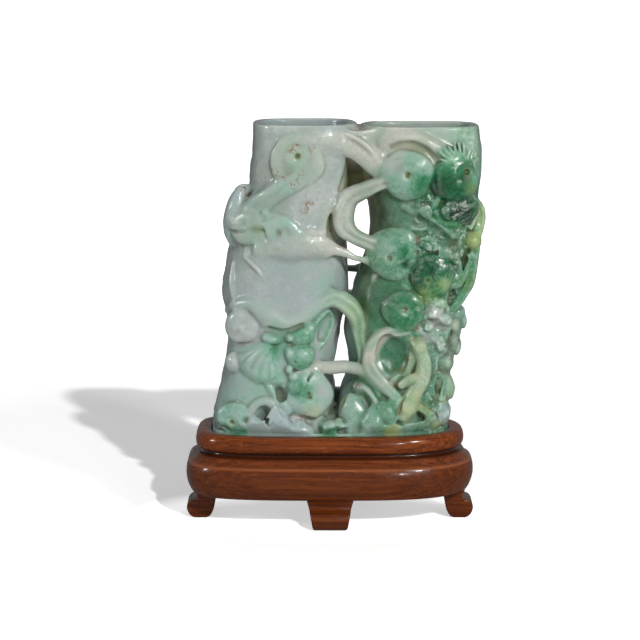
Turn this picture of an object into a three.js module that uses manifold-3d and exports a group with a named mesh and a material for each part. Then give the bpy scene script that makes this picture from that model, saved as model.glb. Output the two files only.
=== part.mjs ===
// Double vase carved in jade as two leaning tree trunks, resting in a hardwood stand.
// Millimetres, +Z up, +X to the right, -Y towards the front.
// The origin is at the bottom centre of the whole object's box.

import * as THREE from 'three';
import { mergeVertices } from 'three/addons/utils/BufferGeometryUtils.js';
import Module from 'manifold-3d';

// Driving dimensions of the vase
const vaseHeight = 147.3;
const baseHalfLength = 55.6;
const baseHalfDepth = 24.4;
const wellDepth = 104;
const rimWall = 4.3;
const floorWall = 7.5;
const rimRounding = 1.3;
const drillDiameter = 2.8;
const drillDepth = 4.5;

// Driving dimensions of the stand
const standHeight = 43.2;
const bodyUnderside = 14;
const recessDepth = 4.2;
const seatClearance = 0.3;
const lipWidth = 7.4;
const lipHeight = 8.4;
const lipRounding = 3.4;
const grooveDepth = 1.9;
const bellyBulge = 4.6;
const bellyHeight = 23.2;
const undersideHollow = 5;
const footTopWidth = 22;
const footBottomWidth = 16;
const footThickness = 13.8;
const toeRadius = 5.3;
const footJoin = 3;

// Facets round a form and along it
const trunkSides = 20;
const trunkSteps = 9;
const wellSides = 18;
const wellSteps = 3;
const webSides = 12;
const discSides = 9;
const drillSides = 6;
const branchSides = 5;
const branchStepsPerPoint = 1.3;
const knobSides = 7;
const knobRings = 4;
const baseSides = 30;
const quarterSteps = 3;

// Corner squareness of an oval outline at its left and right ends: 2 is an ellipse, more is squarer
const baseSquareness = { left: 3.4, right: 2.7 };
const standSquareness = { left: 3.9, right: 2.6 };
const trunkSquareness = { left: 2.4, right: 2.4 };

// The carving is a free form, so its places and sizes are hundredths of the vase's height
const share = vaseHeight / 100;

// Each trunk: height, centre and half width of its section, from the seat up to the rim
const leftTrunk = {
  stations: [
    [0, -18.9, 18.6],
    [11.5, -17.3, 18.8],
    [22.4, -16.4, 17.3],
    [34.6, -14.6, 17.9],
    [48.1, -14.2, 19.8],
    [59.6, -13.3, 18.7],
    [75.2, -10.6, 15.7],
    [86, -9.6, 15.6],
    [100, -8.2, 16.3],
  ],
  depthBelow: 15.6,
  depthAtRim: 15,
};
const rightTrunk = {
  stations: [
    [0, 19.4, 18],
    [13.5, 21.3, 18],
    [23.7, 23.2, 17.1],
    [35.9, 23.2, 18.8],
    [49.5, 26.1, 18.6],
    [63.7, 29.5, 17.2],
    [71.8, 29.8, 17.2],
    [86, 28.7, 18.9],
    [99.2, 28.5, 18.2],
  ],
  depthBelow: 15.6,
  depthAtRim: 13.4,
};

// Stone left between the trunks: height, centre, half width, front and back
const topWeb = [
  [77.5, 7.6, 5, 5, 9],
  [84, 7.8, 6.4, 1, 10],
  [88, 8.2, 6.6, -6, 10],
  [97.8, 9.2, 6.4, -7.6, 10],
];
const rockSaddle = [
  [0, 1, 9, -16, 16],
  [5.5, 2, 6.4, -13.5, 14.5],
  [9.3, 2.4, 3, -8, 11],
];

// Pine whorls and round leaves, as shallow domes: place, radius, stretch across and whether drilled
const frontDiscs = [
  { x: -10, z: 89.4, r: 7.8, drilled: true },
  { x: -25.4, z: 67.2, r: 6.4, wide: 1.25 },
  { x: -14.6, z: 65.4, r: 4.6 },
  { x: -16.4, z: 61.4, r: 4.4, drilled: true },
  { x: -27.3, z: 36.2, r: 5.6 },
  { x: -6.8, z: 15.1, r: 7, drilled: true },
  { x: -29.9, z: 6.6, r: 6, drilled: true },
  { x: -0.3, z: 3.6, r: 2.8 },
  { x: 24, z: 85.1, r: 8.1, drilled: true },
  { x: 38.2, z: 85.4, r: 7.6, drilled: true },
  { x: 39.6, z: 73.3, r: 6 },
  { x: 18.9, z: 59.4, r: 8.1, drilled: true },
  { x: 31.9, z: 53.6, r: 7.2, drilled: true },
  { x: 23, z: 42.4, r: 6.4, drilled: true },
];
const backDiscs = [
  { x: -14, z: 82, r: 7.4, drilled: true },
  { x: -22, z: 52, r: 6.6, drilled: true },
  { x: 31, z: 74, r: 7.8, drilled: true },
  { x: 25, z: 40, r: 7, drilled: true },
  { x: -8, z: 24, r: 6.2 },
];
const discRise = 2.5;
const discRoot = 3.2;
const discFacing = 0.55;
const knobRise = 3.6;

// Branches, roots, leaves and limbs: [x, z, radius, y], on the trunk's skin where y is left out
const frontBranches = [
  // Top crossing from the left trunk to the first whorl on the right
  [[-9, 95.6, 1.6], [-2.6, 95.2, 2.4], [3.6, 94.6, 2.8, -12.5], [8.7, 92.2, 3, -12.5],
    [12.7, 88.9, 3, -12.8], [16, 84.4, 2.4]],
  // Broad bent branch over the gap
  [[18, 81.4, 2.4], [12, 79.2, 3, -12.6], [6.4, 76.4, 3.4, -12.6], [3.9, 71.4, 3.9, -12.6],
    [4.9, 66, 3.9, -12.8], [8.9, 61.4, 3.4, -13.2], [14.5, 59.2, 2.8]],
  // Crossing that widens to the left
  [[-21, 61.6, 1.8], [-13, 61.2, 3], [-6, 61.6, 3.2], [0, 60.6, 2.6, -12.6], [5.5, 58.4, 2, -12],
    [13, 57.4, 1.8]],
  // Wavy band that bends down over the gap
  [[-31.6, 41.6, 1.6], [-28, 44.4, 2.1], [-23.7, 44.8, 2.4], [-19, 42, 2.4], [-14.4, 39.6, 2.4],
    [-9.4, 40.6, 2.4], [-3.8, 43.4, 2.5], [1, 45, 2.8, -13], [5.6, 42.8, 3.1, -12.6],
    [8.4, 39, 2.6, -12.6], [9, 33.5, 2.1, -12.4], [9.4, 27, 1.5]],
  // Lower crossing
  [[-9, 22.6, 1.2], [-4, 23.2, 1.8], [1, 23, 2, -12.2], [6, 23.4, 2, -12.2], [11.5, 22.4, 2],
    [16, 18.6, 1.8], [22, 13.6, 1.3]],
  // Curled branch on the right trunk
  [[21.4, 34.8, 1.2], [17, 33.2, 1.8], [13.6, 30, 2.1], [12.4, 26, 2.1], [14, 22.4, 2],
    [17.5, 19.2, 1.6]],
  // Ridge above the two right whorls
  [[16.6, 92.6, 1.3], [21.5, 95.8, 1.8], [27, 96.3, 1.9], [32.6, 94.9, 2], [37.6, 92.2, 2.2],
    [41.5, 89.4, 1.8]],
  // Stem of the upper left whorl
  [[-12.5, 84, 2.3], [-16.8, 80.4, 2.6], [-21.2, 76.4, 2.7], [-24.6, 72.4, 2.7]],
  // Stub on the left edge
  [[-26, 80.2, 2, -6], [-28, 77.6, 2.7, -6], [-29.4, 72.4, 3, -7], [-30.2, 67.4, 2.8, -6]],
  // Root arch and ridge among the rocks
  [[-25, 9.8, 1.2], [-22, 12.6, 1.3], [-19, 12.2, 1.4], [-15.5, 8.6, 1.6]],
  [[-18.2, 17.2, 1.2], [-15.7, 13.6, 1.5], [-13.4, 10.6, 1.3]],
  // Diagonal ridges on the right trunk
  [[25, 74, 1.3], [30.5, 69.6, 1.8], [36.5, 64.6, 1.6]],
  [[37.5, 63, 1], [40.8, 58, 1.1], [40.2, 52, 1.1], [36.5, 45.6, 1]],
  // Climbing animal: head and arched back, then fore leg and hind leg
  [[28.8, 32, 1.9], [28.1, 28.8, 3.4], [27.6, 25.4, 2.6], [28.4, 21, 3.8], [27, 15.8, 4.1],
    [24, 11, 3.6], [21.6, 7.6, 1.9]],
  [[28, 24.6, 1.7], [24.4, 24.8, 2.2], [21.4, 21.8, 1.6]],
  [[26.8, 13.4, 2], [29, 10.4, 2.1], [32, 7.6, 2], [35, 4.8, 1.8]],
  // Upper forms on the right edge
  [[45.6, 76, 1.6, -3], [47.2, 72.4, 2.4, -5], [47.4, 67.8, 2.4, -6], [46, 63.6, 2.9, -7.5],
    [45.4, 58, 2.2, -7], [45, 52, 2.5, -7], [43.4, 46.4, 2.3, -7.5], [40.4, 42.4, 1.8, -9]],
  // Lower forms on the right edge
  [[39.8, 41.6, 1.7, -8], [40.4, 36.4, 3.2, -9], [39, 30, 2.8, -9.5], [37.6, 24, 2.4, -10.5],
    [36.4, 17.6, 3.4, -10.5], [36, 13, 3, -10.5]],
];
const backBranches = [
  [[-30, 62, 1.6], [-20, 60, 2.4], [-8, 56, 2.6], [3, 54.2, 2, 12], [11, 54, 2, 12], [20, 57, 2.4],
    [28, 63, 2.2]],
  [[-24, 24, 1.8], [-15, 31, 2.4], [-4, 39, 2.6], [6, 42, 2.6, 13], [16, 39, 2.2], [26, 30, 1.8]],
  [[20, 92, 1.6], [30, 88, 2.4], [38, 82, 2.2], [38, 74, 1.6]],
];

// Knobs and rocks: [x, z, half width, half height]
const frontKnobs = [
  // Pair of lobes beside the fan, and their bead
  [-9.3, 34.6, 4.3, 3.7],
  [-9.4, 27.2, 4.8, 4.3],
  [-12.8, 33.6, 1.5, 1.5],
  // Rocks from the left to the right
  [-22.4, 4, 6, 5.6],
  [-14.5, 3, 6.4, 6.4],
  [-7, 2.6, 5.6, 5.2],
  [8.6, 7, 6.6, 9.6],
  [15.6, 4.6, 5.4, 7],
  [20.4, 4.4, 3, 4],
  [28.2, 3, 6, 5.4],
  [35, 6, 3.6, 6.6],
];
const backKnobs = [
  [-28, 5, 8, 8.4],
  [-13, 3.6, 9, 6.8],
  [2, 6, 7, 8.6],
  [15, 4, 9, 7.6],
  [30, 5, 8, 9],
];

// Fan of leaf ribs on the left trunk: its apex, its reach and the directions that its ribs take, in degrees
const fan = { x: -18.8, z: 35, reach: 15, narrow: 11, from: 206, to: 286, ribs: 5, ribRadius: 2.1 };

const wasm = await Module();
wasm.setup();

// Joining and cutting of closed meshes

function solidOf(geometry) {
  const plain = geometry.clone();
  plain.deleteAttribute('normal');
  plain.deleteAttribute('uv');
  const welded = mergeVertices(plain, 1e-4);
  return new wasm.Manifold(
    new wasm.Mesh({
      numProp: 3,
      vertProperties: new Float32Array(welded.attributes.position.array),
      triVerts: new Uint32Array(welded.index.array),
    }),
  );
}

function geometryOf(solid) {
  const mesh = solid.getMesh();
  const geometry = new THREE.BufferGeometry();
  geometry.setAttribute('position', new THREE.BufferAttribute(mesh.vertProperties, 3));
  geometry.setIndex(new THREE.BufferAttribute(mesh.triVerts, 1));
  geometry.computeVertexNormals();
  return geometry;
}

function joined(geometries) {
  return geometries.map(solidOf).reduce((whole, piece) => whole.add(piece));
}

// A closed skin over rings of points, each ring anticlockwise as seen from the side it grows to
function loft(rings) {
  const sides = rings[0].length;
  const positions = rings.flat().flatMap((point) => point.toArray());
  const faces = [];
  for (let ring = 0; ring < rings.length - 1; ring++) {
    for (let side = 0; side < sides; side++) {
      const next = (side + 1) % sides;
      const a = ring * sides + side;
      const b = ring * sides + next;
      faces.push(a, b, b + sides, a, b + sides, a + sides);
    }
  }
  for (const [ring, turn] of [[0, -1], [rings.length - 1, 1]]) {
    const middle = new THREE.Vector3();
    rings[ring].forEach((point) => middle.addScaledVector(point, 1 / sides));
    const centre = positions.length / 3;
    positions.push(...middle.toArray());
    for (let side = 0; side < sides; side++) {
      const a = ring * sides + side;
      const b = ring * sides + ((side + 1) % sides);
      faces.push(centre, turn > 0 ? a : b, turn > 0 ? b : a);
    }
  }
  const geometry = new THREE.BufferGeometry();
  geometry.setAttribute('position', new THREE.Float32BufferAttribute(positions, 3));
  geometry.setIndex(faces);
  return geometry;
}

// An oval section with rounded corners, at one height
function section(centreX, halfX, front, back, height, squareness, sides) {
  const points = [];
  for (let side = 0; side < sides; side++) {
    const angle = (2 * Math.PI * side) / sides;
    const toLeft = (1 - Math.cos(angle)) / 2;
    const power = 2 / THREE.MathUtils.lerp(squareness.right, squareness.left, toLeft);
    const across = Math.sign(Math.cos(angle)) * Math.abs(Math.cos(angle)) ** power;
    const deep = Math.sign(Math.sin(angle)) * Math.abs(Math.sin(angle)) ** power;
    const y = (front + back) / 2 + (deep * (back - front)) / 2;
    points.push(new THREE.Vector3(centreX + halfX * across, y, height));
  }
  return points;
}

// Sections of the trunks

// Value of one column of a table of stations at a height, on a smooth curve through them
function along(stations, height, column) {
  const last = stations.length - 1;
  let index = 0;
  while (index < last - 1 && height > stations[index + 1][0]) {
    index++;
  }
  const slope = (at) => {
    const before = stations[Math.max(at - 1, 0)];
    const after = stations[Math.min(at + 1, last)];
    return (after[column] - before[column]) / (after[0] - before[0]);
  };
  const [low, high] = [stations[index], stations[index + 1]];
  const span = high[0] - low[0];
  const t = THREE.MathUtils.clamp((height - low[0]) / span, 0, 1);
  const start = low[column] * (2 * t ** 3 - 3 * t ** 2 + 1) + slope(index) * span * (t ** 3 - 2 * t ** 2 + t);
  const end = high[column] * (3 * t ** 2 - 2 * t ** 3) + slope(index + 1) * span * (t ** 3 - t ** 2);
  return start + end;
}

function rimHeight(trunk) {
  return trunk.stations.at(-1)[0];
}

function trunkAt(trunk, height) {
  return {
    centre: along(trunk.stations, height, 1),
    halfWidth: along(trunk.stations, height, 2),
    halfDepth: THREE.MathUtils.lerp(trunk.depthBelow, trunk.depthAtRim, height / rimHeight(trunk)),
  };
}

// Ring round a trunk at a height in shares, pulled in by an inset in millimetres
function trunkRing(trunk, height, inset, sides) {
  const { centre, halfWidth, halfDepth } = trunkAt(trunk, height);
  const width = halfWidth * share - inset;
  const depth = halfDepth * share - inset;
  return section(centre * share, width, -depth, depth, height * share, trunkSquareness, sides);
}

function trunkBody(trunk) {
  const rim = rimHeight(trunk);
  const rounding = rimRounding / share;
  const rings = [];
  for (let step = 0; step <= trunkSteps; step++) {
    rings.push(trunkRing(trunk, ((rim - rounding) * step) / trunkSteps, 0, trunkSides));
  }
  rings.push(trunkRing(trunk, rim - rounding * 0.3, rimRounding * 0.3, trunkSides));
  rings.push(trunkRing(trunk, rim, rimRounding, trunkSides));
  return loft(rings);
}

// The hollow of a trunk, from its rounded floor to just above the rim
function well(trunk) {
  const rim = rimHeight(trunk);
  const floor = rim - wellDepth / share;
  const rounding = floorWall / share / 2;
  const rings = [trunkRing(trunk, floor, floorWall * 1.9, wellSides)];
  for (let step = 0; step <= wellSteps; step++) {
    const part = step / wellSteps;
    const height = THREE.MathUtils.lerp(floor + rounding, rim, part);
    rings.push(trunkRing(trunk, height, THREE.MathUtils.lerp(floorWall, rimWall, part), wellSides));
  }
  rings.push(rings.at(-1).map((point) => point.clone().setZ(point.z + rimRounding)));
  return loft(rings);
}

// Half depth of the trunks' skin at a place seen from the front, all in shares
function skinDepth(x, z) {
  const left = trunkAt(leftTrunk, z);
  const right = trunkAt(rightTrunk, z);
  const gap = (left.centre + left.halfWidth + right.centre - right.halfWidth) / 2;
  const { centre, halfWidth, halfDepth } = x < gap ? left : right;
  const out = Math.min(Math.abs(x - centre) / halfWidth, 0.96);
  return halfDepth * (1 - out ** trunkSquareness.left) ** (1 / trunkSquareness.left);
}

// Point on the skin and its outward direction, for the front (side -1) or the back (side 1)
function skin(x, z, side) {
  const step = 0.5;
  const slopeX = (skinDepth(x + step, z) - skinDepth(x - step, z)) / (2 * step);
  const slopeZ = (skinDepth(x, z + step) - skinDepth(x, z - step)) / (2 * step);
  const point = new THREE.Vector3(x, side * skinDepth(x, z), z).multiplyScalar(share);
  const outward = new THREE.Vector3(-slopeX, side, -slopeZ).normalize();
  return { point, outward };
}

// Carving

function onSkin(geometry, x, z, side) {
  const { point, outward } = skin(x, z, side);
  const facing = outward.lerp(new THREE.Vector3(0, side, 0), discFacing).normalize();
  geometry.applyQuaternion(new THREE.Quaternion().setFromUnitVectors(new THREE.Vector3(0, 1, 0), facing));
  geometry.translate(point.x, point.y, point.z);
  return geometry;
}

function disc({ x, z, r, wide = 1 }, side) {
  const rise = discRise * share;
  const radius = r * share;
  const profile = [
    [0, -discRoot * share],
    [radius * 0.9, -discRoot * share],
    [radius, rise * 0.2],
    [radius * 0.9, rise * 0.75],
    [0, rise],
  ].map(([out, up]) => new THREE.Vector2(out, up));
  const dome = new THREE.LatheGeometry(profile, discSides);
  dome.scale(wide, 1, 1);
  return onSkin(dome, x, z, side);
}

function drilledHole({ x, z }, side) {
  const depth = drillDepth + discRise * share;
  const drill = new THREE.CylinderGeometry(drillDiameter / 2, drillDiameter / 2, depth, drillSides);
  drill.translate(0, discRise * share - drillDepth + depth / 2, 0);
  return onSkin(drill, x, z, side);
}

// A branch of changing thickness along a smooth curve, with blunt ends
function branch(points, side) {
  const places = points.map(([x, z, , y = side * skinDepth(x, z)]) => new THREE.Vector3(x, y, z));
  const curve = new THREE.CatmullRomCurve3(places.map((place) => place.multiplyScalar(share)));
  const steps = Math.round((points.length - 1) * branchStepsPerPoint);
  const frames = curve.computeFrenetFrames(steps, false);
  const rings = [];
  for (let step = 0; step <= steps; step++) {
    const t = step / steps;
    const place = curve.getPointAt(t);
    const near = curve.getUtoTmapping(t) * (points.length - 1);
    const before = Math.min(Math.floor(near), points.length - 2);
    const thickness = THREE.MathUtils.lerp(points[before][2], points[before + 1][2], near - before) * share;
    const ring = [];
    for (let corner = 0; corner < branchSides; corner++) {
      const angle = (2 * Math.PI * corner) / branchSides;
      const spoke = place.clone();
      spoke.addScaledVector(frames.normals[step], Math.cos(angle) * thickness);
      spoke.addScaledVector(frames.binormals[step], Math.sin(angle) * thickness);
      ring.push(spoke);
    }
    rings.push(ring);
  }
  return loft(rings);
}

function knob([x, z, halfWidth, halfHeight], side) {
  const ball = new THREE.SphereGeometry(share, knobSides, knobRings);
  ball.rotateX(Math.PI / 2);
  ball.scale(halfWidth, Math.min(halfWidth, knobRise), halfHeight);
  const { point } = skin(x, z, side);
  ball.translate(point.x, point.y, point.z);
  return ball;
}

// Ribs that spread from one point of the skin, over a thin leaf
function leafFan() {
  const ribs = [];
  for (let rib = 0; rib < fan.ribs; rib++) {
    const part = rib / (fan.ribs - 1);
    const angle = THREE.MathUtils.degToRad(THREE.MathUtils.lerp(fan.from, fan.to, part));
    const reach = THREE.MathUtils.lerp(fan.reach, fan.narrow, part);
    const ray = [0, 0.5, 1].map((out) => [
      fan.x + Math.cos(angle) * reach * out,
      fan.z + Math.sin(angle) * reach * out,
      fan.ribRadius * (0.55 + 0.45 * out),
    ]);
    ribs.push(branch(ray, -1));
  }
  return ribs;
}

function stoneBetween(stations) {
  const rings = stations.map((station) => {
    const [height, centre, half, front, back] = station.map((value) => value * share);
    return section(centre, half, front, back, height, trunkSquareness, webSides);
  });
  return loft(rings);
}

// Base outline grown by a margin, which the recess and the stand follow
function baseRing(margin, height, squareness) {
  const depth = baseHalfDepth + margin;
  return section(0, baseHalfLength + margin, -depth, depth, height, squareness, baseSides);
}

// Stone that stands in the stand's recess, up to just above the lip
const seatedHeight = recessDepth + seatClearance;

// Everything round the base outline, which the stand's lip needs free
function lipSpace() {
  const reach = baseHalfLength + lipWidth + bellyBulge;
  const outside = loft([-reach, seatedHeight].map((height) => baseRing(reach, height, standSquareness)));
  const inside = loft([-2 * reach, 2 * reach].map((height) => baseRing(0, height, baseSquareness)));
  return solidOf(outside).subtract(solidOf(inside));
}

function belowSeat() {
  const reach = 2 * (baseHalfLength + vaseHeight);
  const block = new THREE.BoxGeometry(reach, reach, reach);
  block.translate(0, 0, -reach / 2);
  return solidOf(block);
}

function jadeVase() {
  const base = loft([baseRing(0, 0, baseSquareness), baseRing(0, seatedHeight, baseSquareness)]);
  const front = [
    ...frontDiscs.map((place) => disc(place, -1)),
    ...frontBranches.map((points) => branch(points, -1)),
    ...frontKnobs.map((place) => knob(place, -1)),
    ...leafFan(),
  ];
  const back = [
    ...backDiscs.map((place) => disc(place, 1)),
    ...backBranches.map((points) => branch(points, 1)),
    ...backKnobs.map((place) => knob(place, 1)),
  ];
  const trunks = [trunkBody(leftTrunk), trunkBody(rightTrunk)];
  const between = [stoneBetween(topWeb), stoneBetween(rockSaddle)];
  const holes = [
    ...frontDiscs.filter((place) => place.drilled).map((place) => drilledHole(place, -1)),
    ...backDiscs.filter((place) => place.drilled).map((place) => drilledHole(place, 1)),
  ];
  return joined([base, ...trunks, ...between, ...front, ...back])
    .subtract(joined([well(leftTrunk), well(rightTrunk), ...holes]))
    .subtract(lipSpace())
    .subtract(belowSeat());
}

// Stand

const bellyMargin = lipWidth + bellyBulge;

// Half of a stand's moulding, from the hollow underneath, out and up over the lip, into the recess
function standBody() {
  const ring = (margin, height) => baseRing(margin, height, standSquareness);
  const grooveHeight = standHeight - lipHeight;
  const seat = standHeight - recessDepth;
  const hollow = bellyMargin - footThickness - lipWidth / 3;
  const rings = [ring(hollow, bodyUnderside + undersideHollow), ring(hollow, bodyUnderside)];
  // Bulging belly, cut off below its widest height and drawn in to the groove above it
  const cutOff = Math.PI / 2.6;
  for (let step = 0; step <= quarterSteps; step++) {
    const angle = cutOff * (step / quarterSteps - 1);
    const height = bellyHeight + ((bellyHeight - bodyUnderside) * Math.sin(angle)) / Math.sin(cutOff);
    rings.push(ring(bellyMargin - bellyBulge * (1 - Math.cos(angle)), height));
  }
  for (let step = 1; step <= quarterSteps; step++) {
    const angle = (Math.PI / 2) * (step / quarterSteps);
    const pulled = (bellyBulge + grooveDepth) * (1 - Math.cos(angle));
    rings.push(ring(bellyMargin - pulled, bellyHeight + (grooveHeight - bellyHeight) * Math.sin(angle)));
  }
  // Rounded lip, undercut by the groove and eased into the flat that surrounds the vase
  for (let step = 1; step <= 2 * quarterSteps; step++) {
    const angle = (Math.PI / 2) * (step / quarterSteps - 1);
    const pulled = (angle < 0 ? grooveDepth : lipRounding) * (1 - Math.cos(angle));
    rings.push(ring(lipWidth - pulled, standHeight + (lipHeight / 2) * (Math.sin(angle) - 1)));
  }
  rings.push(baseRing(seatClearance, standHeight, baseSquareness));
  rings.push(baseRing(seatClearance, seat, baseSquareness));
  return loft(rings);
}

// Scroll foot seen from its side: x outwards from the belly's edge, y up from the floor
function foot() {
  const profile = new THREE.Shape();
  const top = bodyUnderside + footJoin;
  profile.moveTo(-footThickness, top);
  profile.lineTo(toeRadius / 4 - footThickness, toeRadius);
  profile.quadraticCurveTo(toeRadius / 3 - footThickness, 0, toeRadius - footThickness, 0);
  profile.lineTo(-toeRadius, 0);
  profile.absarc(-toeRadius, toeRadius, toeRadius, -Math.PI / 2, Math.PI / 2, false);
  profile.lineTo(-bellyBulge, bodyUnderside);
  profile.lineTo(-bellyBulge, top);
  const curveSegments = quarterSteps + 1;
  const block = new THREE.ExtrudeGeometry(profile, { depth: 2, bevelEnabled: false, curveSegments });
  block.translate(0, 0, -1);
  // The extrusion is two units wide: each height takes its share of the foot's tapering width
  const place = block.attributes.position;
  for (let index = 0; index < place.count; index++) {
    const height = THREE.MathUtils.clamp(place.getY(index) / bodyUnderside, 0, 1);
    const width = THREE.MathUtils.lerp(footBottomWidth, footTopWidth, height);
    place.setZ(index, (place.getZ(index) * width) / 2);
  }
  block.rotateX(Math.PI / 2);
  return block;
}

function woodStand() {
  const reachX = baseHalfLength + bellyMargin;
  const reachY = baseHalfDepth + bellyMargin;
  const feet = [reachX, reachY, reachX, reachY].map((reach, quarter) => {
    const block = foot();
    block.translate(reach, 0, 0);
    block.rotateZ((quarter * Math.PI) / 2);
    return block;
  });
  return joined([standBody(), ...feet]);
}

const jade = new THREE.MeshStandardMaterial({ color: 0xa9c9b4, roughness: 0.18, metalness: 0 });
const hardwood = new THREE.MeshStandardMaterial({ color: 0x6b2c14, roughness: 0.3, metalness: 0 });

const vase = new THREE.Mesh(geometryOf(jadeVase()), jade);
vase.name = 'jade_vase';
vase.position.z = standHeight - recessDepth + seatClearance;

const stand = new THREE.Mesh(geometryOf(woodStand()), hardwood);
stand.name = 'wood_stand';

const model = new THREE.Group();
model.add(vase, stand);

// The carving overhangs the stand on the right, so the whole is centred by its own box
const middle = new THREE.Box3().setFromObject(model).getCenter(new THREE.Vector3());
model.position.set(-middle.x, -middle.y, 0);

export default model;
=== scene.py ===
# Jade double vase carved as two leaning tree trunks, on its hardwood stand
import math

import bmesh
import bpy
import numpy as np
import openvdb
from mathutils import Matrix, Vector


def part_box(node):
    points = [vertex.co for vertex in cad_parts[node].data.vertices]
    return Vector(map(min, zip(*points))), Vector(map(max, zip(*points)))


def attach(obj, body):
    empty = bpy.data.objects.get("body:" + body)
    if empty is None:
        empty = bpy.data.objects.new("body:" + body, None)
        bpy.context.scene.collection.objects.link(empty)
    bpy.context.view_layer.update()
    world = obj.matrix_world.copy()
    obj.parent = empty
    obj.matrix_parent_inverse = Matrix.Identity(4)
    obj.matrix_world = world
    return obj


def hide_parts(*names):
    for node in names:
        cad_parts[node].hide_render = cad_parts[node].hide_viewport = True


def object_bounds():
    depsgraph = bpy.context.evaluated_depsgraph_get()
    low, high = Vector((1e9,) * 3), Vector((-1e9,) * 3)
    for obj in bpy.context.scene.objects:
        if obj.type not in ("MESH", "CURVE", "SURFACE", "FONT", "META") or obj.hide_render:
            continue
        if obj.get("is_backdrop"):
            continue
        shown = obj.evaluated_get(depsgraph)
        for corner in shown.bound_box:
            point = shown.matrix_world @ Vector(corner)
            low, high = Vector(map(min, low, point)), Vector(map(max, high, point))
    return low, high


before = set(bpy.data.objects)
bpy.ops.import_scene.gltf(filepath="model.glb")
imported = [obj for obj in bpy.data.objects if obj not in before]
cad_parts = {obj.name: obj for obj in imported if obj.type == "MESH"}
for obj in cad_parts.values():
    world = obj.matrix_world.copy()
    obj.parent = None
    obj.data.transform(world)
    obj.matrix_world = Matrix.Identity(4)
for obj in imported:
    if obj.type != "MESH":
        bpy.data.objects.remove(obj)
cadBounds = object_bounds()

vaseLow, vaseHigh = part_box("jade_vase")
standLow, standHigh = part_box("wood_stand")
share = (vaseHigh.z - vaseLow.z) / 100  # the carving is laid out in hundredths of its height
carvingOrigin = np.array([(standLow.x + standHigh.x) / 2, 0, vaseLow.z])


# Screen colour, 0 to 255, as a shader colour
def linear(red, green, blue):
    parts = [value / 255 for value in (red, green, blue)]
    return [p / 12.92 if p < 0.04045 else ((p + 0.055) / 1.055) ** 2.4 for p in parts] + [1]


# Camera

viewpoint = {
    "place": (-0.00736, -1.166, 0.282),
    "pitchDown": 9.19,
    "lens": 141.5,
    "sensor": 36,
}

cameraData = bpy.data.cameras.new("photoCamera")
cameraData.lens = viewpoint["lens"]
cameraData.sensor_width = viewpoint["sensor"]
cameraData.clip_end = 100
camera = bpy.data.objects.new("photoCamera", cameraData)
camera.location = viewpoint["place"]
camera.rotation_euler = (math.radians(90 - viewpoint["pitchDown"]), 0, 0)
bpy.context.scene.collection.objects.link(camera)
bpy.context.scene.camera = camera
print("camera set")


# Stone block: a grid of distances to the carved surface, negative inside the stone

block = {
    "cell": 0.4,
    "low": (-37, -21.5, -1.2),
    "high": (51, 21.5, 101.6),
    "outside": 6,
    "seed": 11,
}

cell = block["cell"]
axes = [np.arange(low, high, cell, dtype=np.float32) for low, high in zip(block["low"], block["high"])]
gridX = axes[0][:, None, None]
gridY = axes[1][None, :, None]
gridZ = axes[2][None, None, :]
gridShape = tuple(len(axis) for axis in axes)
whole = (slice(None), slice(None), slice(None))
stone = np.full(gridShape, block["outside"], np.float32)
hueNames = ("green", "yellow", "olive", "lavender", "russet", "marble")
hues = {name: np.zeros(gridShape, np.float32) for name in hueNames}


def smoothUnion(a, b, k):
    h = np.clip(0.5 + 0.5 * (b - a) / k, 0, 1)
    return b + (a - b) * h - k * h * (1 - h)


def smoothCut(a, b, k):
    return -smoothUnion(-a, b, k)


def easeStep(value):
    value = np.clip(value, 0, 1)
    return value * value * (3 - 2 * value)


# Part of the grid between two corners, and its places
def windowAround(low, high):
    ranges = []
    for count, blockLow, near, past in zip(gridShape, block["low"], low, high):
        start = int(np.clip(math.floor((near - blockLow) / cell), 0, count - 1))
        end = int(np.clip(math.ceil((past - blockLow) / cell) + 1, start + 1, count))
        ranges.append(slice(start, end))
    view = tuple(ranges)
    return view, handX[view], gridY[:, view[1]], handZ[view]


# Draws the stone's hues to a form's own, as far as a weight from 0 to 1
def tinge(view, tint, weight):
    for name, value in tint.items():
        hues[name][view] += (value - hues[name][view]) * weight


# Gives the stone near a form its own hues
def paint(view, distance, tint, soft=0.9):
    tinge(view, tint, easeStep((soft - distance) / (soft + 0.4)))


# Smooth random swells, as rough stone and hand polishing leave
def swells(view, size, seed):
    x, y, z = view
    random = np.random.default_rng(seed)
    lattice = random.uniform(-1, 1, (64, 64, 64)).astype(np.float32)
    parts = []
    for axis in (gridX[x], gridY[:, y], gridZ[:, :, z]):
        place = (axis + 64) / size
        index = np.floor(place).astype(np.int32)
        parts.append((index % 64, easeStep(place - index)))
    (ix, fx), (iy, fy), (iz, fz) = parts
    total = 0
    for dx, dy, dz in np.ndindex(2, 2, 2):
        weight = (fx if dx else 1 - fx) * (fy if dy else 1 - fy) * (fz if dz else 1 - fz)
        total = total + lattice[(ix + dx) % 64, (iy + dy) % 64, (iz + dz) % 64] * weight
    return total


# Places as a carver's hand wavers round them, which makes every form a little uneven
waver = {"broad": 0.42, "broadSize": 6.5, "fine": 0.14, "fineSize": 2.3}


def wavered(plain, seed):
    broad = swells(whole, waver["broadSize"], seed) * waver["broad"]
    return plain + broad + swells(whole, waver["fineSize"], seed + 1) * waver["fine"]


handX, handZ = wavered(gridX, 41), wavered(gridZ, 43)


# Trunks

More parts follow.
